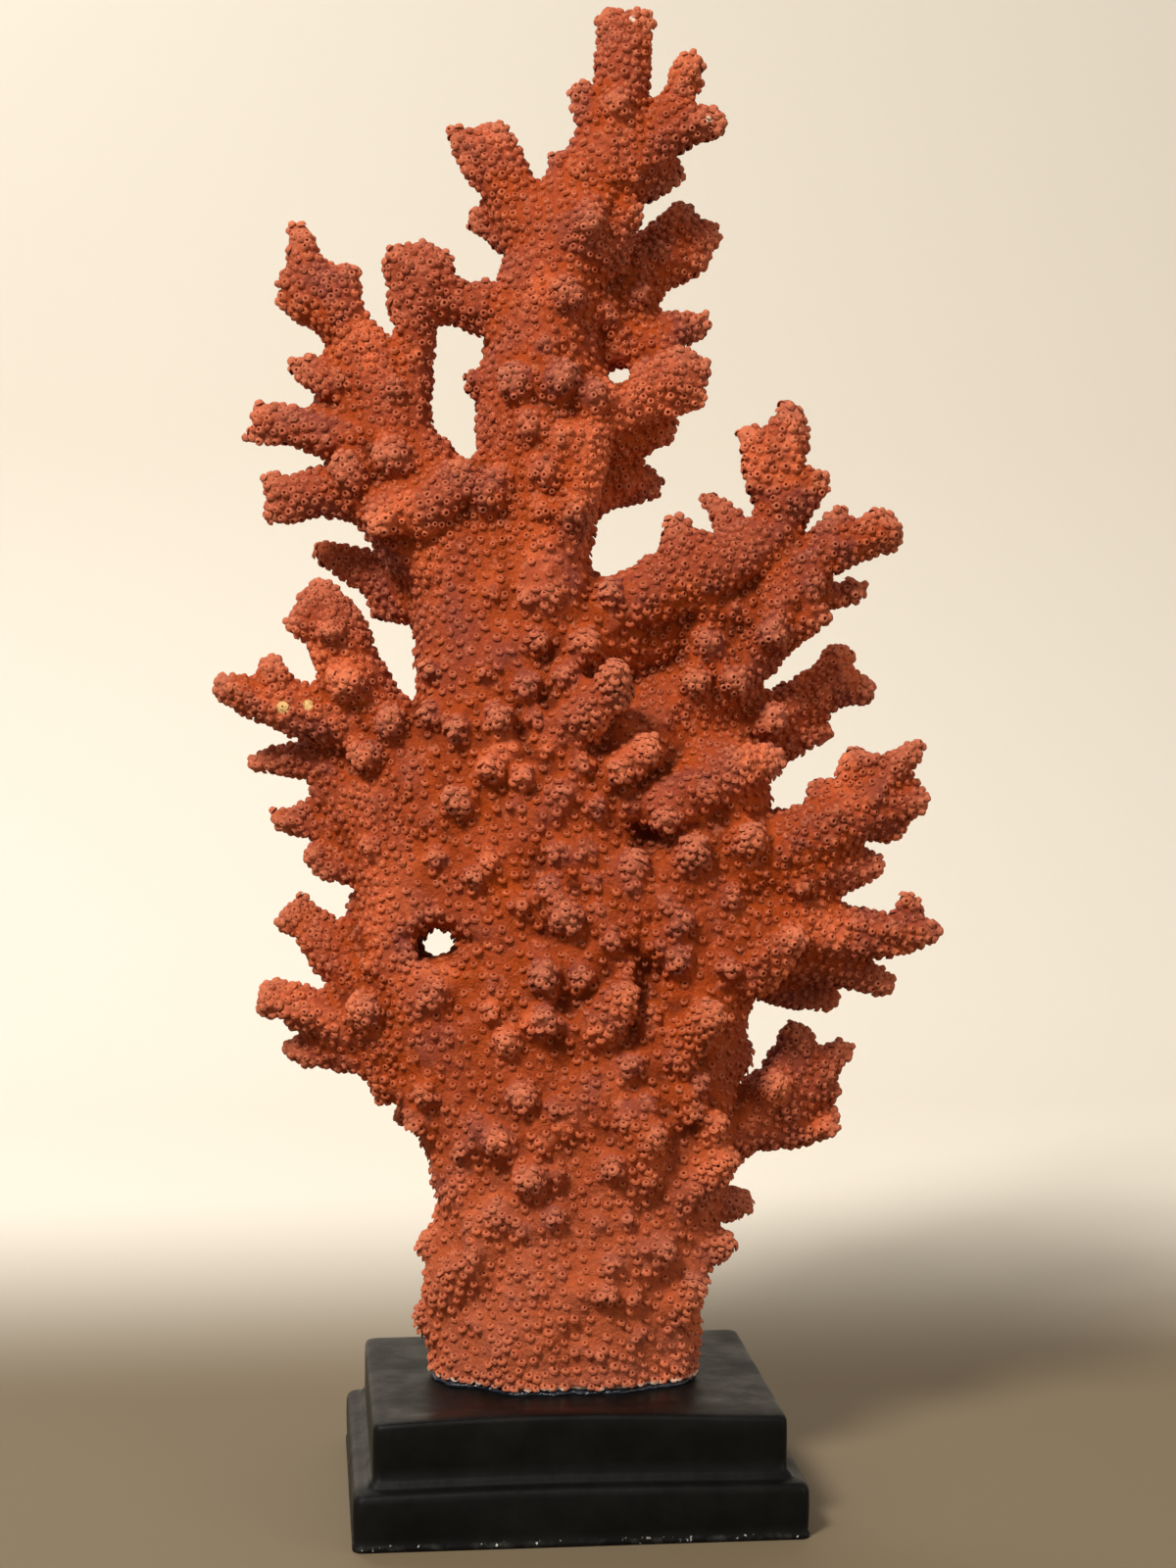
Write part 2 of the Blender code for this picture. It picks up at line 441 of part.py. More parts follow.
def grown(outline, distance):
    """The outline with each side moved outwards by the distance."""
    points = [Vector(point) for point in outline]
    area = sum(a.x * b.y - b.x * a.y for a, b in zip(points, points[1:] + points[:1]))
    side = 1 if area > 0 else -1
    moved = []
    for i, point in enumerate(points):
        into = (point - points[i - 1]).normalized()
        away = (points[(i + 1) % len(points)] - point).normalized()
        first = Vector((into.y, -into.x)) * side
        second = Vector((away.y, -away.x)) * side
        moved.append(point + (first + second) * distance / (1 + first.dot(second)))
    return moved


def prism(name, outline, grow, collection):
    """An outline in the fan's plane, run through the whole depth of the fan."""
    work = bmesh.new()
    near_side = -FAN_DEPTH / 2 * MM
    face = work.faces.new([work.verts.new((x * MM, near_side, z * MM)) for x, z in grown(outline, grow)])
    pushed = bmesh.ops.extrude_face_region(work, geom=[face])
    far_side = [item for item in pushed["geom"] if isinstance(item, bmesh.types.BMVert)]
    bmesh.ops.translate(work, verts=far_side, vec=(0, FAN_DEPTH * MM, 0))
    bmesh.ops.recalc_face_normals(work, faces=work.faces)
    return hidden(object_from(name, work, collection))


def boolean(target, other, operation):
    step = target.modifiers.new(other.name, "BOOLEAN")
    step.object = other
    step.operation = operation
    step.solver = "EXACT"


def evaluated_mesh(source, name):
    """The source's mesh after its modifiers, without the source."""
    bpy.context.view_layer.update()
    graph = bpy.context.evaluated_depsgraph_get()
    mesh = bpy.data.meshes.new_from_object(source.evaluated_get(graph))
    mesh.name = name
    return mesh


def fused(name, work, cell, passes, collection):
    """The overlapping bodies of the bmesh under one smoothed skin."""
    made = hidden(object_from(name, work, collection))
    skin = made.modifiers.new("skin", "REMESH")
    skin.mode = "VOXEL"
    skin.voxel_size = cell * MM
    smooth = made.modifiers.new("smooth", "SMOOTH")
    smooth.iterations = passes
    return made


def hole_cutter(name, across, up, half_width, half_height, collection):
    """A waisted oval plug along the line of sight, narrow in the fan's plane."""
    work = bmesh.new()
    for depth, flare in HOLE_FLARE:
        centre, _ = placed((across, depth, up, 1))
        upright = Matrix.Rotation(math.pi / 2, 4, "X")
        ring = bmesh.ops.create_circle(work, segments=20, radius=MM, matrix=upright)
        for corner in ring["verts"]:
            wide = corner.co.x * half_width * flare
            high = corner.co.z * half_height * flare
            corner.co = centre + Vector((wide, 0, high))
    bmesh.ops.bridge_loops(work, edges=work.edges[:])
    bmesh.ops.holes_fill(work, edges=[edge for edge in work.edges if edge.is_boundary])
    bmesh.ops.recalc_face_normals(work, faces=work.faces)
    return hidden(object_from(name, work, collection))


def foot_cutter(collection):
    """A block under the colony whose top is the flat cut of its foot."""
    centre = Vector((0, 0, (FOOT - CUT_BLOCK[2] / 2) * MM))
    work = bmesh.new()
    block = Matrix.Translation(centre) @ Matrix.Diagonal((*CUT_BLOCK, 1.0))
    bmesh.ops.create_cube(work, size=MM, matrix=block)
    return hidden(object_from("foot_cut", work, collection))


def colony_mesh(cutters):
    """All limbs fused under one skin, pierced where light passes and cut flat at the foot."""
    work = bmesh.new()
    for group in (TRUNK, TRUNK_RIDGES):
        for stations in group.values():
            add_limb(work, stations)
    mass = fused("mass", work, MASS_CELL, MASS_PASSES, cutters)

    work = bmesh.new()
    work.from_mesh(evaluated_mesh(mass, "mass"))
    for group in (TRUNK_KNOBS, LEADER, CROWN, UPPER_LEFT, MIDDLE_LEFT, LOWER_LEFT, UPPER_RIGHT, MIDDLE_RIGHT,
                  LOWER_RIGHT):
        for stations in group.values():
            add_limb(work, stations)
    limbs = fused("limbs", work, SKIN_CELL, SKIN_PASSES, cutters)

    smooth_limbs = evaluated_mesh(limbs, "limbs")
    surface = bmesh.new()
    surface.from_mesh(smooth_limbs)
    work = bmesh.new()
    work.from_mesh(smooth_limbs)
    add_nubs(work, surface)
    surface.free()
    colony = fused("colony", work, SKIN_CELL, NUB_PASSES, cutters)
    for name, (across, up, half_width, half_height) in THROUGH_HOLES.items():
        boolean(colony, hole_cutter(name, across, up, half_width, half_height, cutters), "DIFFERENCE")
    boolean(colony, foot_cutter(cutters), "DIFFERENCE")
    bpy.context.view_layer.update()
    fine = colony.evaluated_get(bpy.context.evaluated_depsgraph_get())
    triangles = sum(len(face.vertices) - 2 for face in fine.data.polygons)
    fewer = colony.modifiers.new("fewer", "DECIMATE")
    fewer.ratio = SKIN_TRIANGLES / triangles
    return evaluated_mesh(colony, "colony")


def make_colony(collection, cutters, coral):
    """The trunk and the branches that part from it. A branch takes its region, less those before it."""
    whole = colony_mesh(cutters)
    earlier = []
    for name, outline in BRANCHES.items():
        branch = make_node(name, whole, collection, coral)
        boolean(branch, prism(name + "_region", outline, 0.0, cutters), "INTERSECT")
        for other in earlier:
            boolean(branch, other, "DIFFERENCE")
        earlier.append(prism(name + "_region_wide", outline, GAP, cutters))
    trunk = make_node("trunk", whole, collection, coral)
    for other in earlier:
        boolean(trunk, other, "DIFFERENCE")
    for cutter in cutters.objects:
        cutter.rotation_euler.z = math.radians(FAN_TURN)


def make_node(name, whole, collection, coral):
    """A copy of the whole colony, coloured and turned with the fan, for the regions to cut."""
    node = bpy.data.objects.new(name, whole.copy())
    collection.objects.link(node)
    node.data.materials.append(coral)
    node.rotation_euler.z = math.radians(FAN_TURN)
    return node


def rounded_rectangle(width, depth, corner):
    """The corner points of a rectangle whose corners are arcs, going round once."""
    points = []
    for quarter, (side_x, side_y) in enumerate(((1, 1), (-1, 1), (-1, -1), (1, -1))):
        centre = Vector((side_x * (width / 2 - corner), side_y * (depth / 2 - corner)))
        for step in range(4):
            angle = math.pi / 2 * (quarter + step / 3)
            points.append(centre + corner * Vector((math.cos(angle), math.sin(angle))))
    return points


def make_plinth(collection, paint):
    """Stacked rounded rectangles: the lower step, a cove, and the upper step."""
    low_x, low_y, low_z = LOWER_STEP
    top_x, top_y, _ = UPPER_STEP
    levels = [(low_x - 2 * BASE_INSET, low_y - 2 * BASE_INSET, 0.0), (low_x, low_y, BASE_INSET_HEIGHT)]
    for step in range(4):
        angle = math.pi / 2 * step / 3
        inset = 2 * STEP_EDGE * (1 - math.cos(angle))
        levels.append((low_x - inset, low_y - inset, low_z - STEP_EDGE * (1 - math.sin(angle))))
    for step in range(4):
        angle = math.pi / 2 * step / 3
        outset = 2 * STEP_COVE * (1 - math.sin(angle))
        levels.append((top_x + outset, top_y + outset, low_z + STEP_COVE * (1 - math.cos(angle))))
    for step in range(4):
        angle = math.pi / 2 * step / 3
        inset = 2 * STEP_EDGE * (1 - math.cos(angle))
        levels.append((top_x - inset, top_y - inset, PLINTH_TOP - STEP_EDGE * (1 - math.sin(angle))))

    work = bmesh.new()
    rings = []
    for width, depth, height in levels:
        ring = rounded_rectangle(width, depth, STEP_CORNER)
        rings.append([work.verts.new((point.x * MM, point.y * MM, height * MM)) for point in ring])
    for lower, upper in zip(rings, rings[1:]):
        for i in range(len(lower)):
            j = (i + 1) % len(lower)
            work.faces.new((lower[i], lower[j], upper[j], upper[i]))
    work.faces.new(rings[0][::-1])
    work.faces.new(rings[-1])
    plinth = object_from("plinth", work, collection)
    plinth.data.materials.append(paint)
    plinth.data.set_sharp_from_angle(angle=math.radians(35))


def make_adhesive(collection, glue):
    """The uneven black bed that holds the foot to the plinth, a little wider than the foot in front."""
    width, depth, thickness = ADHESIVE_BED
    sides = 32
    work = bmesh.new()
    rim = []
    for step in range(sides):
        angle = 2 * math.pi * step / sides
        ripple = 1 + 0.02 * math.sin(7 * angle) + 0.015 * math.sin(11 * angle + 1)
        x = width / 2 * math.cos(angle) * ripple
        y = depth / 2 * math.sin(angle) * ripple - ADHESIVE_FORWARDS
        rim.append(work.verts.new((x * MM, y * MM, (PLINTH_TOP + GAP) * MM)))
    pushed = bmesh.ops.extrude_face_region(work, geom=[work.faces.new(rim)])
    upper = [item for item in pushed["geom"] if isinstance(item, bmesh.types.BMVert)]
    bmesh.ops.translate(work, verts=upper, vec=(0, 0, thickness * MM))
    bmesh.ops.recalc_face_normals(work, faces=work.faces)
    bed = object_from("adhesive_bed", work, collection)
    bed.data.materials.append(glue)
    bed.rotation_euler.z = math.radians(FAN_TURN)


def main():
    for old in list(bpy.data.objects):
        bpy.data.objects.remove(old, do_unlink=True)
    parts = bpy.data.collections.new("coral_specimen")
    cutters = bpy.data.collections.new("cutters")
    bpy.context.scene.collection.children.link(parts)
    bpy.context.scene.collection.children.link(cutters)

    make_colony(parts, cutters, material("coral", (0.50, 0.11, 0.05), 0.85))
    make_adhesive(parts, material("adhesive", (0.012, 0.014, 0.02), 0.35))
    make_plinth(parts, material("black_paint", (0.012, 0.012, 0.013), 0.4))


main()
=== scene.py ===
# %% [markdown]
# # A branching coral on a black plinth
#
# The real thing is a fan of coral that grew as one skeleton. Its limbs fork, fuse again and end in blunt
# fingers, and thousands of small cups stand on it, each of them once the home of one polyp. Somebody cut it
# flat at the foot and glued it to a moulded plinth with two steps. The frame brings the large shapes. This
# lesson makes what a close look shows: the cups, the lumpy skin between them, the paint and the glue.

# %% Load the frame and note its size
import math

import bmesh
import bpy
import numpy as np
from mathutils import Matrix, Vector, kdtree, noise


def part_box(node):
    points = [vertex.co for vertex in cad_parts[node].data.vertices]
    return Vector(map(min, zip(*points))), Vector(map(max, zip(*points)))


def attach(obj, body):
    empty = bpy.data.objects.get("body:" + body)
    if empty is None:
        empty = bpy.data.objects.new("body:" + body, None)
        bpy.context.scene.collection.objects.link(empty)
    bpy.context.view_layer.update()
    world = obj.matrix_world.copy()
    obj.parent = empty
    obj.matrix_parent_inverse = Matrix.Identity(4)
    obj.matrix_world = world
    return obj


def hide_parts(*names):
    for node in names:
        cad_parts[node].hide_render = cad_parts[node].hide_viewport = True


MM = 0.001
SEED = 41
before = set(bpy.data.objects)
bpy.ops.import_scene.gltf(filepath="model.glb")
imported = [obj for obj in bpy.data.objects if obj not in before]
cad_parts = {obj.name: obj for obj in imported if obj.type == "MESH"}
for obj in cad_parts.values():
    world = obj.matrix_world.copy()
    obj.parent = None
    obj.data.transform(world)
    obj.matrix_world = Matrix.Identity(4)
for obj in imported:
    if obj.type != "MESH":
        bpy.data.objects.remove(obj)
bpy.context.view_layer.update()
print("nodes:", ", ".join(sorted(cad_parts)))

# %% [markdown]
# The camera comes first, because everything is judged through it. It stands a little to the left of the
# middle, somewhat over a metre away and just above half height, and looks slightly down. It is described by
# the directions that its own right side, its top and its view point to, which is easier to check against a
# picture than three angles.

# %% The camera
CAMERA_PLACE = Vector((-0.1091, -1.0601, 0.3686))
CAMERA_VIEW = Vector((0.10874, 0.99134, -0.07376))
CAMERA_LEVEL = Vector((0.99404, -0.10904, 0.0))
CAMERA_ROLL = math.radians(0.41)

level_up = CAMERA_LEVEL.cross(CAMERA_VIEW).normalized()
right = math.cos(CAMERA_ROLL) * CAMERA_LEVEL + math.sin(CAMERA_ROLL) * level_up
top = math.cos(CAMERA_ROLL) * level_up - math.sin(CAMERA_ROLL) * CAMERA_LEVEL
turn = Matrix((right, top, -CAMERA_VIEW)).transposed().to_4x4()
camera_data = bpy.data.cameras.new("camera")
camera_data.sensor_fit = "VERTICAL"
camera_data.sensor_height = 36.0
camera_data.lens = 60.75
camera = bpy.data.objects.new("camera", camera_data)
bpy.context.scene.collection.objects.link(camera)
camera.matrix_world = Matrix.Translation(CAMERA_PLACE) @ turn
bpy.context.scene.camera = camera
print("camera at", tuple(round(value, 3) for value in camera.location))

# %% [markdown]
# The background is one sheet that is brown under the plinth, pale beige behind it and sweeps upright, so
# that no horizon cuts through the picture. The main light comes from the upper left and is not too large, so
# each ridge is bright on its upper left side and throws a shadow to the lower right. A weak, warm light on
# the right keeps those shadows from going black.

# %% A helper for materials, and the lights
def shader_tree(name, roughness):
    """A new material with one principled shader. It returns the material, its tree and the shader."""
    made = bpy.data.materials.new(name)
    made.use_nodes = True
    tree = made.node_tree
    shader = tree.nodes["Principled BSDF"]
    shader.inputs["Roughness"].default_value = roughness
    return made, tree, shader


def area_light(name, place, target, size, power, colour):
    data = bpy.data.lights.new(name, "AREA")
    data.shape = "DISK"
    data.size = size
    data.energy = power
    data.color = colour
    lamp = bpy.data.objects.new(name, data)
    bpy.context.scene.collection.objects.link(lamp)
    aim = (Vector(target) - Vector(place)).to_track_quat("-Z", "Y")
    lamp.matrix_world = Matrix.Translation(place) @ aim.to_matrix().to_4x4()


area_light("key", (-1.0, -1.3, 1.9), (0, 0, 0.3), 0.5, 58.0, (1.0, 0.97, 0.92))
area_light("fill", (1.5, -1.0, 0.8), (0, 0, 0.3), 1.0, 6.0, (1.0, 0.90, 0.78))
area_light("rim", (-0.6, 1.2, 1.4), (0, 0, 0.35), 0.8, 9.0, (0.95, 0.98, 1.0))

world = bpy.data.worlds.new("studio")
world.use_nodes = True
world.node_tree.nodes["Background"].inputs["Color"].default_value = (0.86, 0.82, 0.76, 1.0)
world.node_tree.nodes["Background"].inputs["Strength"].default_value = 0.42
bpy.context.scene.world = world

# The plain transform shows strong oranges as they are, where the default one greys them.
bpy.context.scene.view_settings.view_transform = "Standard"
print("three lights:", ", ".join(light.name for light in bpy.data.lights))

# %% [markdown]
# The sheet starts as one edge in front of the camera. That edge is pulled back along the floor, up round the
# sweep and straight up. Seen from behind the sheet is clear, so that a camera on its far side still sees the
# coral.

# %% The sheet
# Its measures are in metres. It turns from brown to beige between the last two distances.
FLOOR_REACH = 4.0
WALL_AT = 1.3
WALL_HEIGHT = 3.0
SWEEP_RADIUS = 0.5
SWEEP_STEPS = 16
BROWN_UNTIL = 0.12
BEIGE_FROM = 0.55
FLOOR_BROWN = (0.17, 0.125, 0.07, 1.0)
WALL_BEIGE = (0.86, 0.80, 0.70, 1.0)
sheet = bmesh.new()
near_left = sheet.verts.new((-FLOOR_REACH, -FLOOR_REACH, 0.0))
near_right = sheet.verts.new((FLOOR_REACH, -FLOOR_REACH, 0.0))
edges = [sheet.edges.new((near_left, near_right))]


def pulled(edges, step):
    """Extrudes the edges and moves the new ones by the step."""
    pushed = bmesh.ops.extrude_edge_only(sheet, edges=edges)["geom"]
    moving = [item for item in pushed if isinstance(item, bmesh.types.BMVert)]
    bmesh.ops.translate(sheet, verts=moving, vec=step)
    return [item for item in pushed if isinstance(item, bmesh.types.BMEdge)]


edges = pulled(edges, (0, FLOOR_REACH + WALL_AT - SWEEP_RADIUS, 0))
for number in range(SWEEP_STEPS):
    start_angle = math.pi / 2 * number / SWEEP_STEPS
    end_angle = math.pi / 2 * (number + 1) / SWEEP_STEPS
    back = SWEEP_RADIUS * (math.sin(end_angle) - math.sin(start_angle))
    upwards = SWEEP_RADIUS * (math.cos(start_angle) - math.cos(end_angle))
    edges = pulled(edges, (0, back, upwards))
pulled(edges, (0, 0, WALL_HEIGHT))
bmesh.ops.reverse_faces(sheet, faces=sheet.faces)
for face in sheet.faces:
    face.smooth = True
sweep_mesh = bpy.data.meshes.new("sweep")
sheet.to_mesh(sweep_mesh)
sheet.free()
sweep = bpy.data.objects.new("sweep", sweep_mesh)
bpy.context.scene.collection.objects.link(sweep)
sweep_finish, tree, sweep_shader = shader_tree("brown_to_beige", 0.75)
sheet_place = tree.nodes.new("ShaderNodeSeparateXYZ")
tree.links.new(tree.nodes.new("ShaderNodeTexCoord").outputs["Object"], sheet_place.inputs[0])
away = tree.nodes.new("ShaderNodeMapRange")
away.interpolation_type = "SMOOTHSTEP"
away.inputs["From Min"].default_value = BROWN_UNTIL
away.inputs["From Max"].default_value = BEIGE_FROM
tree.links.new(sheet_place.outputs["Y"], away.inputs["Value"])
sweep_colour = tree.nodes.new("ShaderNodeMix")
sweep_colour.data_type = "RGBA"
sweep_colour.inputs[6].default_value = FLOOR_BROWN
sweep_colour.inputs[7].default_value = WALL_BEIGE
tree.links.new(away.outputs["Result"], sweep_colour.inputs[0])
tree.links.new(sweep_colour.outputs[2], sweep_shader.inputs["Base Color"])

clear = tree.nodes.new("ShaderNodeBsdfTransparent")
one_sided = tree.nodes.new("ShaderNodeMixShader")
tree.links.new(tree.nodes.new("ShaderNodeNewGeometry").outputs["Backfacing"], one_sided.inputs[0])
tree.links.new(sweep_shader.outputs[0], one_sided.inputs[1])
tree.links.new(clear.outputs[0], one_sided.inputs[2])
tree.links.new(one_sided.outputs[0], tree.nodes["Material Output"].inputs["Surface"])
sweep_mesh.materials.append(sweep_finish)
print("a sheet of", len(sweep_mesh.polygons), "faces")

# %% [markdown]
# The coral's skin starts from the frame's own limbs. Each limb is a closed solid with a hair of space at its
# fork. The solids are swollen by less than half a millimetre, so that neighbours overlap, and a voxel remesh
# then pours one even skin over them. Plain smoothing would thin the fingers, so each softening pass is
# followed by one of the opposite sign, which keeps the volume.

# %% One skin over all limbs
CORAL_NODES = ["trunk", "leader", "crown", "upper_left_branch", "middle_left_branch", "lower_left_branch",
               "upper_right_branch", "middle_right_branch", "lower_right_branch"]
SWELL = 0.4
SKIN_CELL = 2.1
EVEN_PASSES = 12
SOFTEN = 0.5
GIVE_BACK = -0.52
SAME_PLACE = 0.00001


def merged(node):
    """A copy of a frame node as one bmesh with its loose triangles joined."""
    work = bmesh.new()
    work.from_mesh(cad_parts[node].data)
    bmesh.ops.remove_doubles(work, verts=work.verts, dist=SAME_PLACE)
    return work


def softened(work, factor):
    """Moves every point towards the middle of its neighbours, or away from it for a negative factor."""
    bmesh.ops.smooth_vert(work, verts=work.verts, factor=factor, use_axis_x=True, use_axis_y=True,
                          use_axis_z=True)


def new_object(name, work):
    """An object at the origin that takes over the bmesh."""
    mesh = bpy.data.meshes.new(name)
    work.to_mesh(mesh)
    work.free()
    made = bpy.data.objects.new(name, mesh)
    bpy.context.scene.collection.objects.link(made)
    return made


limbs = bmesh.new()
for node in CORAL_NODES:
    limb = merged(node)
    limb.normal_update()
    for corner in limb.verts:
        corner.co += corner.normal * SWELL * MM
    swollen = bpy.data.meshes.new(node + "_swollen")
    limb.to_mesh(swollen)
    limb.free()
    limbs.from_mesh(swollen)
    bpy.data.meshes.remove(swollen)
draft = new_object("draft_skin", limbs)
remesh = draft.modifiers.new("pour", "REMESH")
remesh.mode = "VOXEL"
remesh.voxel_size = SKIN_CELL * MM
bpy.context.view_layer.update()
poured = bpy.data.meshes.new_from_object(draft.evaluated_get(bpy.context.evaluated_depsgraph_get()))
bpy.data.objects.remove(draft)

skin = bmesh.new()
skin.from_mesh(poured)
bpy.data.meshes.remove(poured)
for _ in range(EVEN_PASSES):
    softened(skin, SOFTEN)
    softened(skin, GIVE_BACK)
skin.normal_update()
print("skin:", len(skin.verts), "points,", 2 * len(skin.faces), "triangles")

# %% [markdown]
# Which limb a point belongs to, and how far it bulges, are needed again and again: for the lumps, for the
# cups and for the colours. The limb comes from the nearest point of the frame. The bulge is the distance
# from a much softer copy of the same skin: positive on ridges and tips, negative in valleys.

# %% Measure the skin
SOFT_PASSES = 34


def coordinates(work):
    return np.array([corner.co[:] for corner in work.verts])


limb_tree = kdtree.KDTree(sum(len(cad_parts[node].data.vertices) for node in CORAL_NODES))
for number, node in enumerate(CORAL_NODES):
    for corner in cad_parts[node].data.vertices:
        limb_tree.insert(corner.co, number)
limb_tree.balance()
limb_of = np.array([limb_tree.find(corner.co)[1] for corner in skin.verts])

firm = coordinates(skin)
out = np.array([corner.normal[:] for corner in skin.verts])
for _ in range(SOFT_PASSES):
    softened(skin, SOFTEN)
bulge = np.einsum("ij,ij->i", firm - coordinates(skin), out) / MM
print("bulge in mm: lowest %.2f, middle %.2f, highest %.2f" % (bulge.min(), np.median(bulge), bulge.max()))

# %% [markdown]
# A grown skeleton is never smooth. Three layers push the skin in and out along its normals. Broad noise
# gives lumps of about a centimetre, strongest on the thick trunk. Pebbles come from a cell pattern: around
# each of its scattered points the skin rises in a low dome, which looks like a cauliflower. Small noise
# roughens what lies between the cups. On the young limbs the nubs are lower than on the trunk, so whatever
# bulges to the front or the back sinks in there. The cut foot stays flat, so all of it fades out just above
# the cut.

# %% Lumps on the skin
FOOT_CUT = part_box("trunk")[0].z
FADE_ABOVE_CUT = 6.0
LUMP_SIZE = 13.0
LUMP_HEIGHT = 0.9
YOUNG_LUMP_SHARE = 0.45
PEBBLE_SIZE = 8.5
PEBBLE_HEIGHT = 1.5
PEBBLE_REACH = 0.62
PEBBLE_PATCH_SIZE = 30.0
PEBBLE_PATCH_EDGE = (-0.5, 0.3)
GRIT_SIZE = 3.4
GRIT_HEIGHT = 0.35
# The share of a bulge that sinks in, from what bulge in millimetres on, between which heights above the
# plinth's underside, and between which amounts of facing the front or the back.
NUB_SINK = 1.1
NUB_SINK_FROM = 0.6
NUB_SINK_ABOVE = (340.0, 400.0)
NUB_SINK_FACING = (0.3, 0.8)
TRUNK = CORAL_NODES.index("trunk")


def eased(value, low_end, high_end):
    """0 below the low end, 1 above the high end and a smooth change between them."""
    part = min(1.0, max(0.0, (value - low_end) / (high_end - low_end)))
    return part * part * (3 - 2 * part)


def lump(place, size, shift):
    """Smooth noise from about -1 to 1 with features of the given size in millimetres."""
    return noise.noise(place / (size * MM) + Vector((shift, -shift, 2.0 * shift)))


def pebble(place, size):
    """From 0 to 1: a dome round each scattered point, about as wide as the given size."""
    nearest = noise.voronoi(place / (size * MM))[0][0]
    return math.sqrt(max(0.0, 1.0 - (nearest / PEBBLE_REACH) ** 2))


places = firm.copy()
for number, start in enumerate(firm):
    point = Vector(start)
    above_cut = min(1.0, max(0.0, (point.z - FOOT_CUT) / (FADE_ABOVE_CUT * MM)))
    height = LUMP_HEIGHT * lump(point, LUMP_SIZE, 3.7)
    if limb_of[number] != TRUNK:
        height *= YOUNG_LUMP_SHARE
    in_patch = eased(lump(point, PEBBLE_PATCH_SIZE, 1.9), *PEBBLE_PATCH_EDGE)
    height += PEBBLE_HEIGHT * (pebble(point, PEBBLE_SIZE) - 0.5) * in_patch
    height += GRIT_HEIGHT * lump(point, GRIT_SIZE, 9.1)
    on_young_limbs = eased(point.z / MM, *NUB_SINK_ABOVE) * eased(abs(out[number][1]), *NUB_SINK_FACING)
    height -= NUB_SINK * on_young_limbs * max(0.0, bulge[number] - NUB_SINK_FROM)
    places[number] = start + out[number] * height * above_cut * MM
for corner, place in zip(skin.verts, places):
    corner.co = place
    corner.co.z = max(corner.co.z, FOOT_CUT)
skin.normal_update()
print("lumps up to %.2f mm" % (np.linalg.norm(places - firm, axis=1).max() / MM))

# %% [markdown]
# Where do the cups go? Real ones keep their distance from each other without standing in rows. Dart throwing
# gives just that: random places on the skin are tried one after another, and one that is too close to a cup
# already placed is left out. The distance in millimetres is larger on the old, thick trunk than on the young
# fingers, and smallest on the tips, which are whatever bulges by more than a limit.

# %% Throw the darts
TRUNK_SPACING = 4.4
BRANCH_SPACING = 3.3
TIP_SPACING = 2.7
SPACING_SPREAD = 0.10
TIP_BULGE = 1.6
CUP_ABOVE_CUT = 0.8
DARTS = 130000

corner_place = coordinates(skin)
corner_out = np.array([corner.normal[:] for corner in skin.verts])
triangles = np.array([[loop.vert.index for loop in three] for three in skin.calc_loop_triangles()])
edge_a = corner_place[triangles[:, 1]] - corner_place[triangles[:, 0]]
edge_b = corner_place[triangles[:, 2]] - corner_place[triangles[:, 0]]
areas = np.linalg.norm(np.cross(edge_a, edge_b), axis=1) / 2

chance = np.random.default_rng(SEED)
hit = np.searchsorted(np.cumsum(areas) / areas.sum(), chance.random(DARTS))
share = chance.dirichlet((1.0, 1.0, 1.0), DARTS)[:, :, None]
dart_place = (corner_place[triangles[hit]] * share).sum(axis=1)
dart_out = (corner_out[triangles[hit]] * share).sum(axis=1)
dart_out /= np.linalg.norm(dart_out, axis=1)[:, None]
dart_bulge = (bulge[triangles[hit]] * share[:, :, 0]).sum(axis=1)
dart_limb = limb_of[triangles[hit][:, 0]]

tipness = np.clip(dart_bulge / TIP_BULGE, 0.0, 1.0)
spacing = np.where(dart_limb == TRUNK, TRUNK_SPACING, BRANCH_SPACING)
spacing = spacing + (np.minimum(spacing, TIP_SPACING) - spacing) * tipness
spacing = spacing * (1.0 + SPACING_SPREAD * (chance.random(DARTS) - 0.5)) * MM

cells = {}
kept = []
for number, (place, reach) in enumerate(zip(dart_place, spacing)):
    if place[2] < FOOT_CUT + CUP_ABOVE_CUT * MM:
        continue
    column, row, layer = (place / (TRUNK_SPACING * MM)).astype(int)
    near = [other for i in (-1, 0, 1) for j in (-1, 0, 1) for k in (-1, 0, 1)
            for other in cells.get((column + i, row + j, layer + k), ())]
    if near and ((dart_place[near] - place) ** 2).sum(axis=1).min() < reach * reach:
        continue
    cells.setdefault((column, row, layer), []).append(number)
    kept.append(number)
kept = np.array(kept)
print(len(kept), "cups on", round(areas.sum() * 1e4), "square centimetres")

# %% [markdown]
# One cup is a short tube with a wide foot that runs out into the skin, a rounded rim and a deep hole. It is
# made once, from one small circle that is extruded and scaled ring by ring, like a pot on a wheel. It has
# under thirty faces, because thousands of copies stand on the coral. A number on each point tells the finish
# where it is: 0 in the bottom of the hole and close to 1 on the rim.

# %% Make one cup
CUP_SIDES = 7
# Each ring's radius, height and number for the finish, by which it paints a highlight on the rim and shade
# into the hole. The size of a cup multiplies the first two.
CUP_RINGS = ((1.45, -0.30, 0.6), (0.93, 0.76, 0.95), (0.56, 0.90, 0.85), (0.38, 0.52, 0.32))
CUP_HOLE_DEPTH = 0.2

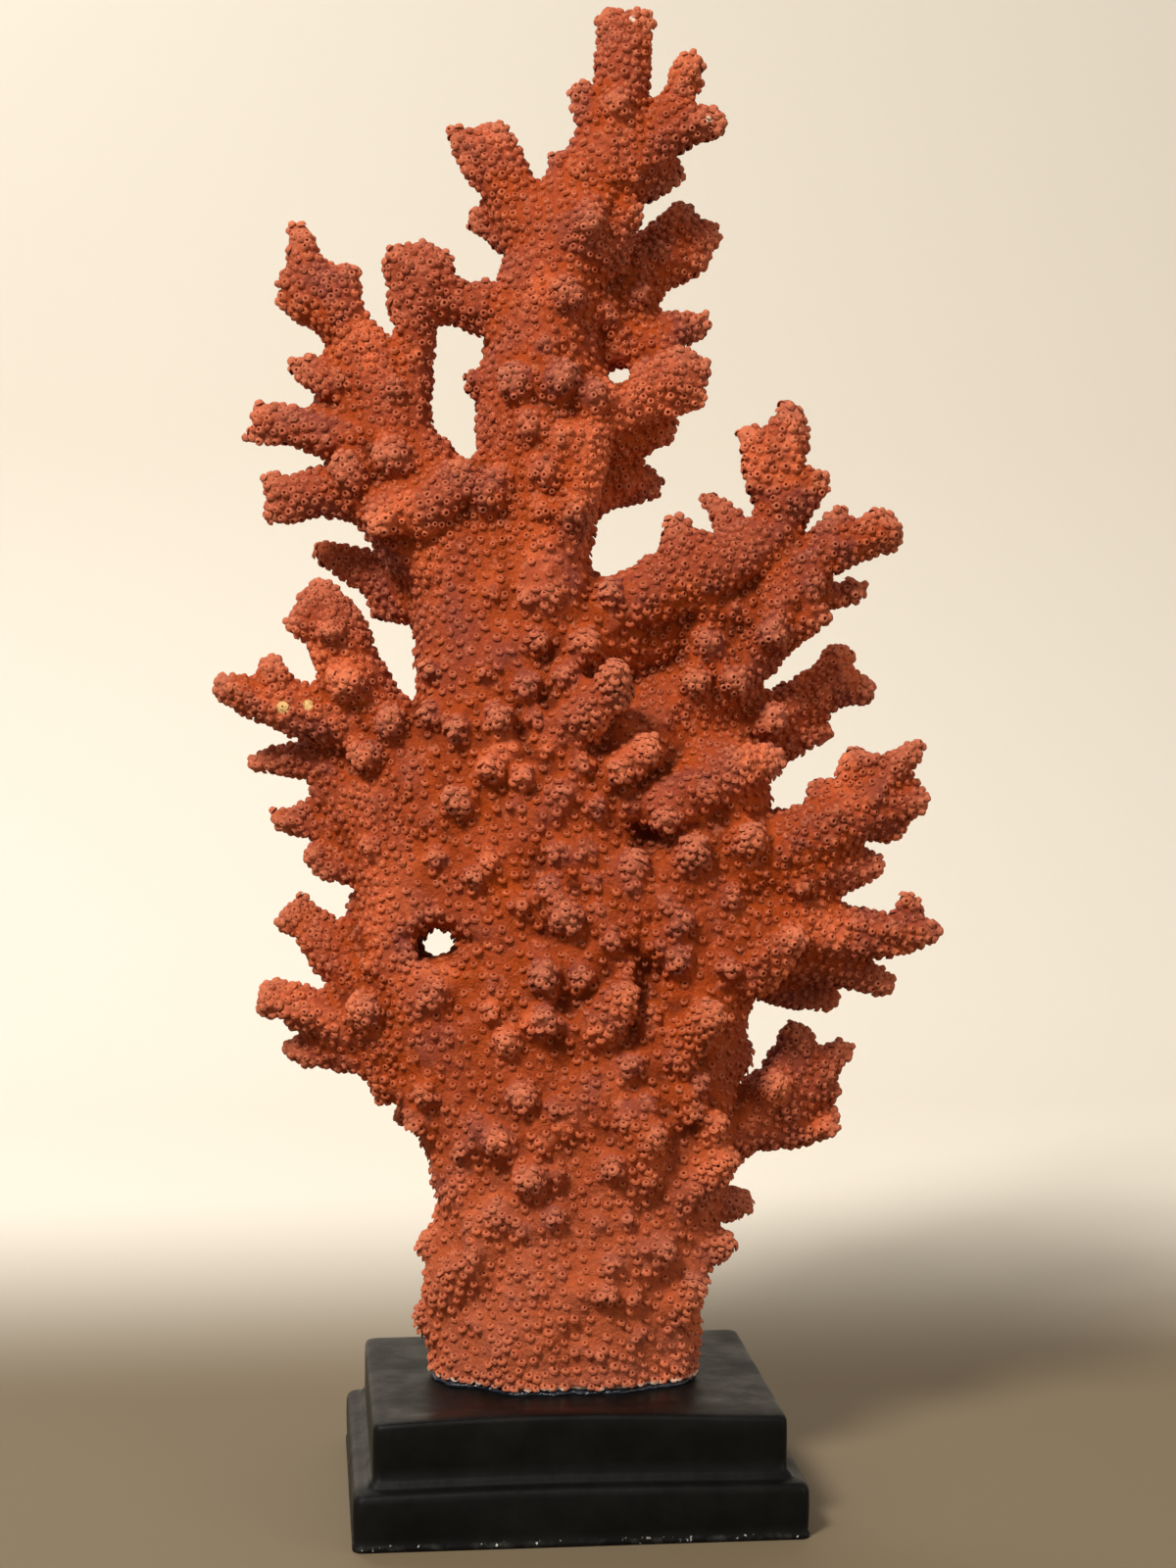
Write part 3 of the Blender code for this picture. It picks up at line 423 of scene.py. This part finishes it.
cup = bmesh.new()
shade_of = cup.verts.layers.float.new("cup")
ring = bmesh.ops.create_circle(cup, segments=CUP_SIDES, radius=1.0)["verts"]
for number, (radius, height, shade) in enumerate(CUP_RINGS):
    if number:
        sides = [side for side in cup.edges if all(end in ring for end in side.verts)]
        pushed = bmesh.ops.extrude_edge_only(cup, edges=sides)
        ring = [item for item in pushed["geom"] if isinstance(item, bmesh.types.BMVert)]
    for corner in ring:
        flat = Vector((corner.co.x, corner.co.y, 0.0)).normalized() * radius
        corner.co = (flat.x, flat.y, height)
        corner[shade_of] = shade
sides = [side for side in cup.edges if all(end in ring for end in side.verts)]
pushed = bmesh.ops.extrude_edge_only(cup, edges=sides)
bottom = [item for item in pushed["geom"] if isinstance(item, bmesh.types.BMVert)]
for corner in bottom:
    corner.co = (0.0, 0.0, CUP_HOLE_DEPTH)
    corner[shade_of] = 0.0
bmesh.ops.remove_doubles(cup, verts=bottom, dist=0.001)
bmesh.ops.recalc_face_normals(cup, faces=cup.faces)
cup.verts.index_update()
print("one cup:", len(cup.faces), "faces")

# %% [markdown]
# Every cup leans. On a growing branch it leans towards the branch's tip, on the trunk it leans upwards, so
# that seen from the front its hole looks up and its lower lip catches the light. Cups on the young limbs are
# tall, those on the old trunk are low, and those on a tip are the largest.

# %% Size, lean and turn every cup
GROWTH = {
    "trunk": (0.1, 0, 1),
    "leader": (0.15, 0, 1),
    "crown": (0.1, 0, 1),
    "upper_left_branch": (-0.6, 0, 0.8),
    "middle_left_branch": (-0.85, 0, 0.5),
    "lower_left_branch": (-1, 0, 0.3),
    "upper_right_branch": (0.8, 0, 0.6),
    "middle_right_branch": (1, 0, 0.3),
    "lower_right_branch": (0.9, 0, 0.5),
}
# A cup's radius and height in millimetres, and how much the sizes differ.
TRUNK_CUP = (1.40, 0.85)
BRANCH_CUP = (1.30, 1.30)
LEAST_WIDTH = 0.82
WIDTH_SPREAD = 0.36
LEAST_HEIGHT = 0.65
HEIGHT_SPREAD = 0.7
TIP_WIDER = 0.12
TIP_TALLER = 0.2
# How far a cup leans, as a share of its own direction.
TRUNK_LEAN = 0.95
BRANCH_LEAN = 0.55
LEAN_SPREAD = 0.25
STRAY_LEAN = 0.12

count = len(kept)
limb = dart_limb[kept]
tip = tipness[kept]
growth = np.array([Vector(GROWTH[node]).normalized()[:] for node in CORAL_NODES])[limb]
on_trunk = limb == TRUNK
lean = np.where(on_trunk, TRUNK_LEAN, BRANCH_LEAN) + LEAN_SPREAD * (chance.random(count) - 0.5)
axis = dart_out[kept] + growth * lean[:, None]
axis += STRAY_LEAN * chance.standard_normal((count, 3))
axis /= np.linalg.norm(axis, axis=1)[:, None]
side = np.cross(axis, chance.standard_normal((count, 3)))
side /= np.linalg.norm(side, axis=1)[:, None]
other = np.cross(axis, side)

width = np.where(on_trunk, TRUNK_CUP[0], BRANCH_CUP[0])
width = width * (LEAST_WIDTH + WIDTH_SPREAD * chance.random(count)) * (1 + TIP_WIDER * tip)
height = np.where(on_trunk, TRUNK_CUP[1], BRANCH_CUP[1])
height = height * (LEAST_HEIGHT + HEIGHT_SPREAD * chance.random(count)) * (1 + TIP_TALLER * tip)
print("cups are %.1f to %.1f mm wide" % (2 * width.min(), 2 * width.max()))

# %% [markdown]
# The copies are joined into a few meshes, one for each part of the coral, so that each stays small enough to
# handle. The places of all points come from a few sums over whole arrays, and the faces of the first cup are
# repeated with their numbers moved up. Each point also takes over the bulge of the skin below it, so that
# cup and skin are coloured alike.

# %% Join the cups into meshes
cup_points = np.array([corner.co[:] for corner in cup.verts])
cup_shade = np.array([corner[shade_of] for corner in cup.verts])
cup_faces = [[corner.index for corner in face.verts] for face in cup.faces]
cup_loops = np.array([index for face in cup_faces for index in face])
cup_sizes = np.array([len(face) for face in cup_faces])
cup.free()


def joined_cups(name, chosen):
    """One mesh with a copy of the cup for each chosen number."""
    number_of = len(chosen)
    across = cup_points[:, 0, None] * side[chosen, None, :] + cup_points[:, 1, None] * other[chosen, None, :]
    along = cup_points[:, 2, None] * axis[chosen, None, :]
    spread = width[chosen, None, None] * across + height[chosen, None, None] * along
    points = dart_place[kept[chosen], None, :] + spread * MM
    points[:, :, 2] = np.maximum(points[:, :, 2], FOOT_CUT)
    first = np.arange(number_of) * len(cup_points)
    mesh = bpy.data.meshes.new(name)
    mesh.vertices.add(number_of * len(cup_points))
    mesh.vertices.foreach_set("co", points.reshape(-1))
    mesh.loops.add(number_of * len(cup_loops))
    corners = (cup_loops[None, :] + first[:, None]).reshape(-1)
    mesh.loops.foreach_set("vertex_index", corners.astype(np.int32))
    mesh.polygons.add(number_of * len(cup_sizes))
    starts = np.concatenate([[0], np.cumsum(np.tile(cup_sizes, number_of))[:-1]])
    mesh.polygons.foreach_set("loop_start", starts.astype(np.int32))
    mesh.update(calc_edges=True)
    mesh.validate()
    mesh.shade_smooth()
    mesh.attributes.new("cup", "FLOAT", "POINT").data.foreach_set("value", np.tile(cup_shade, number_of))
    carried = np.repeat(dart_bulge[kept[chosen]], len(cup_points))
    mesh.attributes.new("bulge", "FLOAT", "POINT").data.foreach_set("value", carried)
    made = bpy.data.objects.new(name, mesh)
    bpy.context.scene.collection.objects.link(made)
    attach(made, "root")
    return made


CUP_GROUPS = {
    "leader_cups": ["leader", "crown"],
    "left_branch_cups": ["upper_left_branch", "middle_left_branch", "lower_left_branch"],
    "right_branch_cups": ["upper_right_branch", "middle_right_branch", "lower_right_branch"],
}
cup_pieces = []
for name, group in CUP_GROUPS.items():
    in_group = np.isin(limb, [CORAL_NODES.index(node) for node in group])
    cup_pieces.append(joined_cups(name, np.flatnonzero(in_group)))
trunk_front = on_trunk & (dart_out[kept][:, 1] < 0)
cup_pieces.append(joined_cups("trunk_front_cups", np.flatnonzero(trunk_front)))
cup_pieces.append(joined_cups("trunk_back_cups", np.flatnonzero(on_trunk & ~trunk_front)))
for piece in cup_pieces:
    print(piece.name, len(piece.data.loops) - 2 * len(piece.data.polygons), "triangles")

# %% [markdown]
# Now the skin itself becomes an object. It stands for all the limbs of the frame, which are hidden. It
# carries the same two numbers as the cups, and the first of them is that of a cup's foot everywhere.

# %% The skin as an object
SKIN_SHADE = CUP_RINGS[0][2]
shade_layer = skin.verts.layers.float.new("cup")
bulge_layer = skin.verts.layers.float.new("bulge")
for corner, amount in zip(skin.verts, bulge):
    corner[shade_layer] = SKIN_SHADE
    corner[bulge_layer] = amount
for face in skin.faces:
    face.smooth = True
coral_skin = new_object("coral_skin", skin)
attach(coral_skin, "root")
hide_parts(*CORAL_NODES)
print("coral_skin replaces", len(CORAL_NODES), "nodes")

# %% [markdown]
# Every finish is a small tree of the same few nodes. The helpers below add nodes to the tree that was begun
# last. All noises follow the object's own coordinates, so that nothing swims when the part is moved.

# %% Helpers for the finishes
def begun(name, roughness):
    """Begins a finish, to which the other helpers then add. It returns the material and its shader."""
    global nodes, links, object_place
    made, tree, shader = shader_tree(name, roughness)
    nodes = tree.nodes
    links = tree.links
    object_place = nodes.new("ShaderNodeTexCoord").outputs["Object"]
    return made, shader


def noise_value(scale, detail, shift, low, high):
    """A noise on the object's own coordinates, stretched so that low becomes 0 and high becomes 1."""
    moved = nodes.new("ShaderNodeMapping")
    moved.inputs["Location"].default_value = (shift, 2.0 * shift, -shift)
    links.new(object_place, moved.inputs["Vector"])
    made = nodes.new("ShaderNodeTexNoise")
    made.inputs["Scale"].default_value = scale
    made.inputs["Detail"].default_value = detail
    made.inputs["Roughness"].default_value = 0.6
    links.new(moved.outputs["Vector"], made.inputs["Vector"])
    return stretched(made.outputs["Fac"], low, high)


def stretched(value, low, high):
    """A value eased so that low becomes 0 and high becomes 1. Low may be the larger of the two."""
    made = nodes.new("ShaderNodeMapRange")
    made.interpolation_type = "SMOOTHSTEP"
    made.inputs["From Min"].default_value = low
    made.inputs["From Max"].default_value = high
    links.new(value, made.inputs["Value"])
    return made.outputs["Result"]


def attribute(name):
    made = nodes.new("ShaderNodeAttribute")
    made.attribute_name = name
    return made.outputs["Fac"]


def blended(amount, first, second):
    """The second colour over the first one, by the amount."""
    made = nodes.new("ShaderNodeMix")
    made.data_type = "RGBA"
    links.new(amount, made.inputs[0])
    for socket, colour in ((made.inputs[6], first), (made.inputs[7], second)):
        if isinstance(colour, tuple):
            socket.default_value = (*colour, 1.0)
        else:
            links.new(colour, socket)
    return made.outputs[2]


def times(value, factor):
    """A value times a number or another value."""
    made = nodes.new("ShaderNodeMath")
    made.operation = "MULTIPLY"
    links.new(value, made.inputs[0])
    if isinstance(factor, float):
        made.inputs[1].default_value = factor
    else:
        links.new(factor, made.inputs[1])
    return made.outputs[0]


def fleck(across, up, radius):
    """1 inside a small disc of the front view and 0 outside and on the back, with a soft edge."""
    flat = nodes.new("ShaderNodeMapping")
    flat.inputs["Scale"].default_value = (1.0, 0.0, 1.0)
    links.new(object_place, flat.inputs["Vector"])
    away = nodes.new("ShaderNodeVectorMath")
    away.operation = "DISTANCE"
    away.inputs[1].default_value = (across * MM, 0.0, up * MM)
    links.new(flat.outputs["Vector"], away.inputs[0])
    return times(stretched(away.outputs["Value"], 1.2 * radius * MM, 0.8 * radius * MM), facing_front)


def bumped(shader, strength, distance, height):
    """Lets the shader's normals follow a height, whose full range is this distance in metres."""
    made = nodes.new("ShaderNodeBump")
    made.inputs["Strength"].default_value = strength
    made.inputs["Distance"].default_value = distance
    links.new(height, made.inputs["Height"])
    links.new(made.outputs["Normal"], shader.inputs["Normal"])


print("helpers for noises, blends, flecks and bumps")

# %% [markdown]
# The coral's colour is the point of the piece. Its paint is a dusty salmon with dusty purplish and bright
# orange patches, as if a glaze had pooled. Onto it the finish paints shade and light by the bulge: painted
# shade turns the hollows to a saturated orange and the deepest of them to burnt brown, and a painted
# highlight makes whatever stands out a paler salmon. So the finish mixes slow noises for the patches, then
# goes by the bulge, paints a highlight on the cups' rims and paints shade into their holes. It is paler near
# the foot, which is painted light, a few flecks of paint are gone, and the cut edge at the very bottom is raw
# in places. Quick noises break all of it up, some of them as small specks of painted highlight, and a bump
# adds the grain of the skeleton.

# %% The coral finish
SALMON = (0.36, 0.066, 0.026)
PAINTED_LIGHT_SALMON = (0.84, 0.27, 0.14)
BRIGHT_ORANGE = (0.80, 0.172, 0.058)
FIERY_ORANGE_AND_HOLLOW_SHADE = (0.43, 0.060, 0.003)
DUSTY_PURPLE = (0.24, 0.050, 0.034)
BURNT_SHADE_AND_SPECKS = (0.12, 0.014, 0.001)
PAINTED_HOLE_SHADE = (0.150, 0.018, 0.003)
RAW = (0.80, 0.56, 0.42)
YELLOWED = (0.80, 0.50, 0.20)
# Where a fleck of paint is gone, as (across, up, radius) in millimetres seen from the front.
YELLOWED_CHIPS = ((-115.3, 320.7, 2.4), (-105.4, 321.7, 2.0))
RAW_CHIPS = ((21.5, 591.8, 1.3), (51.1, 552.5, 1.2))
RAW_EDGE = 1.7

coral_finish, coral_shader = begun("painted_coral", 0.8)
facing = nodes.new("ShaderNodeSeparateXYZ")
links.new(nodes.new("ShaderNodeNewGeometry").outputs["Normal"], facing.inputs[0])
facing_front = stretched(facing.outputs["Y"], 0.0, -0.3)
height_on_cup = attribute("cup")
bulge_here = attribute("bulge")
above = nodes.new("ShaderNodeSeparateXYZ")
links.new(object_place, above.inputs[0])

# Each line lays a colour over what the lines before it made. The first is the most widespread, the last one
# covers everything.
colour = blended(times(noise_value(22.0, 3.0, 4.1, 0.48, 0.64), 0.8), SALMON, FIERY_ORANGE_AND_HOLLOW_SHADE)
colour = blended(times(noise_value(34.0, 4.0, 11.3, 0.50, 0.64), 0.75), colour, DUSTY_PURPLE)
colour = blended(times(noise_value(26.0, 4.0, 16.4, 0.52, 0.66), 0.70), colour, BRIGHT_ORANGE)
# Painted shade: the hollows turn a saturated orange and the deepest ones burnt brown.
colour = blended(times(stretched(bulge_here, 0.9, -0.9), 0.80), colour, FIERY_ORANGE_AND_HOLLOW_SHADE)
colour = blended(times(stretched(bulge_here, -0.3, -2.2), 0.85), colour, BURNT_SHADE_AND_SPECKS)
colour = blended(times(noise_value(420.0, 3.0, 7.7, 0.50, 0.70), 0.50), colour, BURNT_SHADE_AND_SPECKS)
# Painted light: the coral turns paler towards the foot.
colour = blended(times(stretched(above.outputs["Z"], 0.20, 0.05), 0.22), colour, PAINTED_LIGHT_SALMON)
# Painted highlights: a paler salmon on ridges and tips, on the cups' rims and in small pale specks.
colour = blended(times(stretched(bulge_here, 0.8, 3.0), 0.38), colour, PAINTED_LIGHT_SALMON)
colour = blended(times(stretched(height_on_cup, 0.72, 0.95), 0.28), colour, PAINTED_LIGHT_SALMON)
colour = blended(times(noise_value(260.0, 2.0, 3.9, 0.56, 0.70), 0.30), colour, PAINTED_LIGHT_SALMON)
for chip in YELLOWED_CHIPS:
    colour = blended(fleck(*chip), colour, YELLOWED)
for chip in RAW_CHIPS:
    colour = blended(fleck(*chip), colour, RAW)
at_the_cut = stretched(above.outputs["Z"], FOOT_CUT + RAW_EDGE * MM, FOOT_CUT + 0.5 * RAW_EDGE * MM)
colour = blended(times(at_the_cut, noise_value(160.0, 3.0, 5.1, 0.42, 0.56)), colour, RAW)
# Painted shade: the holes of the cups turn dark.
colour = blended(stretched(height_on_cup, 0.54, 0.18), colour, PAINTED_HOLE_SHADE)
links.new(colour, coral_shader.inputs["Base Color"])
coral_shader.inputs["Specular IOR Level"].default_value = 0.18

bumped(coral_shader, 0.6, 1.0 * MM, noise_value(620.0, 5.0, 2.9, 0.25, 0.75))
for piece in (coral_skin, *cup_pieces):
    piece.data.materials.append(coral_finish)
print("painted_coral has", len(nodes), "nodes")

# %% [markdown]
# The plinth is cast in one piece: a lower step, a narrow rounded ledge and an upper step. The cast shrank as
# it set, so its front edges are hollow in the middle and the upper one rises. It grows from one rectangle
# with rounded corners, whose outline is extruded and squeezed level by level along a short profile, which is
# how a moulding is drawn. The frame's own plinth gives the width and the depth.

# %% Build the plinth from one rounded rectangle
PLINTH_CORNER = 4.0
CORNER_SEGMENTS = 6
# How far each level lies inside the lower step's side and how high it is, in millimetres.
PROFILE = ((0.6, 0.0), (0.0, 0.5), (0.0, 1.9), (0.55, 2.6), (0.35, 6.0), (0.2, 12.0), (0.35, 18.5),
           (0.9, 20.4), (1.9, 21.5), (3.4, 21.9), (5.2, 22.1), (6.0, 22.6), (6.5, 23.6), (7.2, 24.5),
           (7.9, 25.2), (8.0, 30.0), (8.0, 40.0), (8.15, 44.4), (8.7, 45.8), (9.8, 46.4), (12.0, 46.5),
           (18.0, 46.5), (26.0, 46.5))
# How far the front edges rise and are hollow in the middle. Where along the depth and the height the bend
# sets in and is complete, and each edge's share of the rise.
EDGE_RISE = 2.4
EDGE_HOLLOW = 1.2
MIDDLE_TO_LEFT = 0.15
FRONT_BAND = (38.0, 56.0)
HOLLOW_BAND = (4.0, 22.0)
LOWER_EDGE_BAND = (12.0, 24.0)
UPPER_EDGE_BAND = (30.0, 46.0)
LOWER_EDGE_SHARE = 0.35
LONG_SIDE = 50.0
low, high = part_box("plinth")
plinth_width = (high.x - low.x) / MM
plinth_depth = (high.y - low.y) / MM

casting = bmesh.new()
bmesh.ops.create_grid(casting, x_segments=1, y_segments=1, size=0.5)
bmesh.ops.scale(casting, verts=casting.verts, vec=(plinth_width * MM, plinth_depth * MM, 1.0))
bmesh.ops.bevel(casting, geom=casting.verts[:], offset=PLINTH_CORNER * MM, segments=CORNER_SEGMENTS,
                profile=0.5, affect="VERTICES", material=-1)
bmesh.ops.delete(casting, geom=casting.faces[:], context="FACES_ONLY")
long_sides = [side for side in casting.edges if side.calc_length() > LONG_SIDE * MM]
bmesh.ops.subdivide_edges(casting, edges=long_sides, cuts=15)
ring = set(casting.verts)
squeeze = (1.0, 1.0)
for number, (inset, level) in enumerate(PROFILE):
    if number:
        sides = [side for side in casting.edges if ring.issuperset(side.verts)]
        pushed = bmesh.ops.extrude_edge_only(casting, edges=sides)
        ring = {item for item in pushed["geom"] if isinstance(item, bmesh.types.BMVert)}
    wanted = (1 - 2 * inset / plinth_width, 1 - 2 * inset / plinth_depth)
    for corner in ring:
        across = corner.co.x * wanted[0] / squeeze[0]
        deep = corner.co.y * wanted[1] / squeeze[1]
        corner.co = (across, deep, level * MM)
    squeeze = wanted
bmesh.ops.holes_fill(casting, edges=[side for side in casting.edges if side.is_boundary])
bmesh.ops.recalc_face_normals(casting, faces=casting.faces)
for corner in casting.verts:
    across = corner.co.x / (plinth_width / 2 * MM)
    level = corner.co.z / MM
    middle = max(0.0, 1 - (across + MIDDLE_TO_LEFT) ** 2) ** 1.5
    bend = middle * eased(-corner.co.y / MM, *FRONT_BAND) * MM
    rise = LOWER_EDGE_SHARE * eased(level, *LOWER_EDGE_BAND)
    rise += (1 - LOWER_EDGE_SHARE) * eased(level, *UPPER_EDGE_BAND)
    corner.co.y += EDGE_HOLLOW * bend * eased(level, *HOLLOW_BAND)
    corner.co.z += EDGE_RISE * bend * rise
for face in casting.faces:
    face.smooth = True
plinth = new_object("plinth_casting", casting)
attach(plinth, "root")
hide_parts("plinth")
print("plinth:", len(plinth.data.polygons), "faces,", len(PROFILE), "levels")

# %% [markdown]
# The paint is a satin black that lies thick on the flats. It has faint brush and dust marks, is a little
# duller in places, and where the lower edge was knocked, pale specks of the cast show through. The specks
# are a noise that is only let through in a thin band just above the underside.

# %% The plinth's paint
DEEP_BLACK = (0.0032, 0.0031, 0.0028)
DULL_BLACK = (0.0062, 0.0060, 0.0054)
DUST = (0.10, 0.10, 0.095)
BARE_CAST = (0.55, 0.54, 0.50)

paint, paint_shader = begun("satin_black", 0.42)
split = nodes.new("ShaderNodeSeparateXYZ")
links.new(object_place, split.inputs[0])
colour = blended(noise_value(60.0, 4.0, 1.3, 0.35, 0.75), DEEP_BLACK, DULL_BLACK)
under_the_edge = stretched(split.outputs["Z"], 3.4 * MM, 2.0 * MM)
band = times(under_the_edge, stretched(split.outputs["Z"], 0.2 * MM, 1.2 * MM))
specks = times(noise_value(520.0, 2.0, 6.1, 0.66, 0.72), band)
dusty = times(noise_value(150.0, 4.0, 8.8, 0.45, 0.75), band)
colour = blended(times(dusty, 0.3), colour, DUST)
colour = blended(specks, colour, BARE_CAST)
links.new(colour, paint_shader.inputs["Base Color"])
roughness = nodes.new("ShaderNodeMapRange")
roughness.inputs["To Min"].default_value = 0.36
roughness.inputs["To Max"].default_value = 0.55
links.new(noise_value(45.0, 3.0, 3.3, 0.3, 0.7), roughness.inputs["Value"])
links.new(roughness.outputs["Result"], paint_shader.inputs["Roughness"])
paint_shader.inputs["Specular IOR Level"].default_value = 0.13
bumped(paint_shader, 0.25, 0.4 * MM, noise_value(110.0, 5.0, 5.5, 0.2, 0.8))
plinth.data.materials.append(paint)
print("satin_black has", len(nodes), "nodes")

# %% [markdown]
# The glue was squeezed out when the coral was pressed down. In front it stands out here and there as a
# ragged, glossy bluish-black bead, elsewhere it hardly shows. It follows the outline of the cut foot, which
# is measured from the skin itself, and a circle is then pushed out to that outline, ring by ring.

# %% The squeezed-out glue
BEAD_SIDES = 144
# How far each ring lies outside the foot and how high it is above the plinth's top, in millimetres.
BEAD_RINGS = ((-0.4, -0.1), (0.1, 0.25), (0.25, 0.8), (0.1, 1.4), (-0.8, 1.9), (-4.0, 2.0))
BEAD_BULGE = 8.0
BEAD_RAGGED = 0.5
BULGE_FROM = -0.35
FRONT_ONLY = 6
ANGLE_WINDOW = 0.09
NOISE_RADIUS = 0.05
GLUE_DARK = (0.006, 0.008, 0.014)
GLUE_BLUISH = (0.022, 0.028, 0.042)
PLINTH_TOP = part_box("plinth")[1].z

foot = np.array([corner[:2] for corner in places if corner[2] < FOOT_CUT + CUP_ABOVE_CUT * MM])
foot_middle = (foot.max(axis=0) + foot.min(axis=0)) / 2
foot_angle = np.arctan2(foot[:, 1] - foot_middle[1], foot[:, 0] - foot_middle[0])
foot_reach = np.linalg.norm(foot - foot_middle, axis=1)


def reach_at(angle):
    """How far the foot's outline is from its middle in this direction."""
    apart = np.abs((foot_angle - angle + math.pi) % (2 * math.pi) - math.pi)
    return foot_reach[apart < ANGLE_WINDOW].max()


bead = bmesh.new()
rings = [set(bmesh.ops.create_circle(bead, segments=BEAD_SIDES, radius=1.0)["verts"])]
for _ in BEAD_RINGS[1:]:
    sides = [side for side in bead.edges if rings[-1].issuperset(side.verts)]
    pushed = bmesh.ops.extrude_edge_only(bead, edges=sides)
    rings.append({item for item in pushed["geom"] if isinstance(item, bmesh.types.BMVert)})
for ring, (outside, level) in zip(rings, BEAD_RINGS):
    for corner in ring:
        heading = corner.co.copy()
        ragged = lump(heading * NOISE_RADIUS + Vector((0, 0, level * MM)), 4.2, 5.0)
        in_front = max(0.0, -heading.y) ** FRONT_ONLY
        bulging = BEAD_BULGE * in_front * max(0.0, ragged - BULGE_FROM) * max(0.0, outside)
        reach = reach_at(math.atan2(heading.y, heading.x)) + (outside + BEAD_RAGGED * ragged + bulging) * MM
        across = foot_middle[0] + heading.x * reach
        deep = foot_middle[1] + heading.y * reach
        corner.co = (across, deep, PLINTH_TOP + level * MM)
bmesh.ops.holes_fill(bead, edges=[side for side in bead.edges if side.is_boundary])
bmesh.ops.recalc_face_normals(bead, faces=bead.faces)
for face in bead.faces:
    face.smooth = True
glue = new_object("glue_bead", bead)
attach(glue, "root")
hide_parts("adhesive_bed")

glue_finish, glue_shader = begun("set_glue", 0.28)
colour = blended(noise_value(240.0, 3.0, 2.2, 0.4, 0.7), GLUE_DARK, GLUE_BLUISH)
links.new(colour, glue_shader.inputs["Base Color"])
bumped(glue_shader, 0.6, 0.6 * MM, noise_value(400.0, 3.0, 4.2, 0.3, 0.7))
glue.data.materials.append(glue_finish)
print("glue bead:", len(glue.data.polygons), "faces")
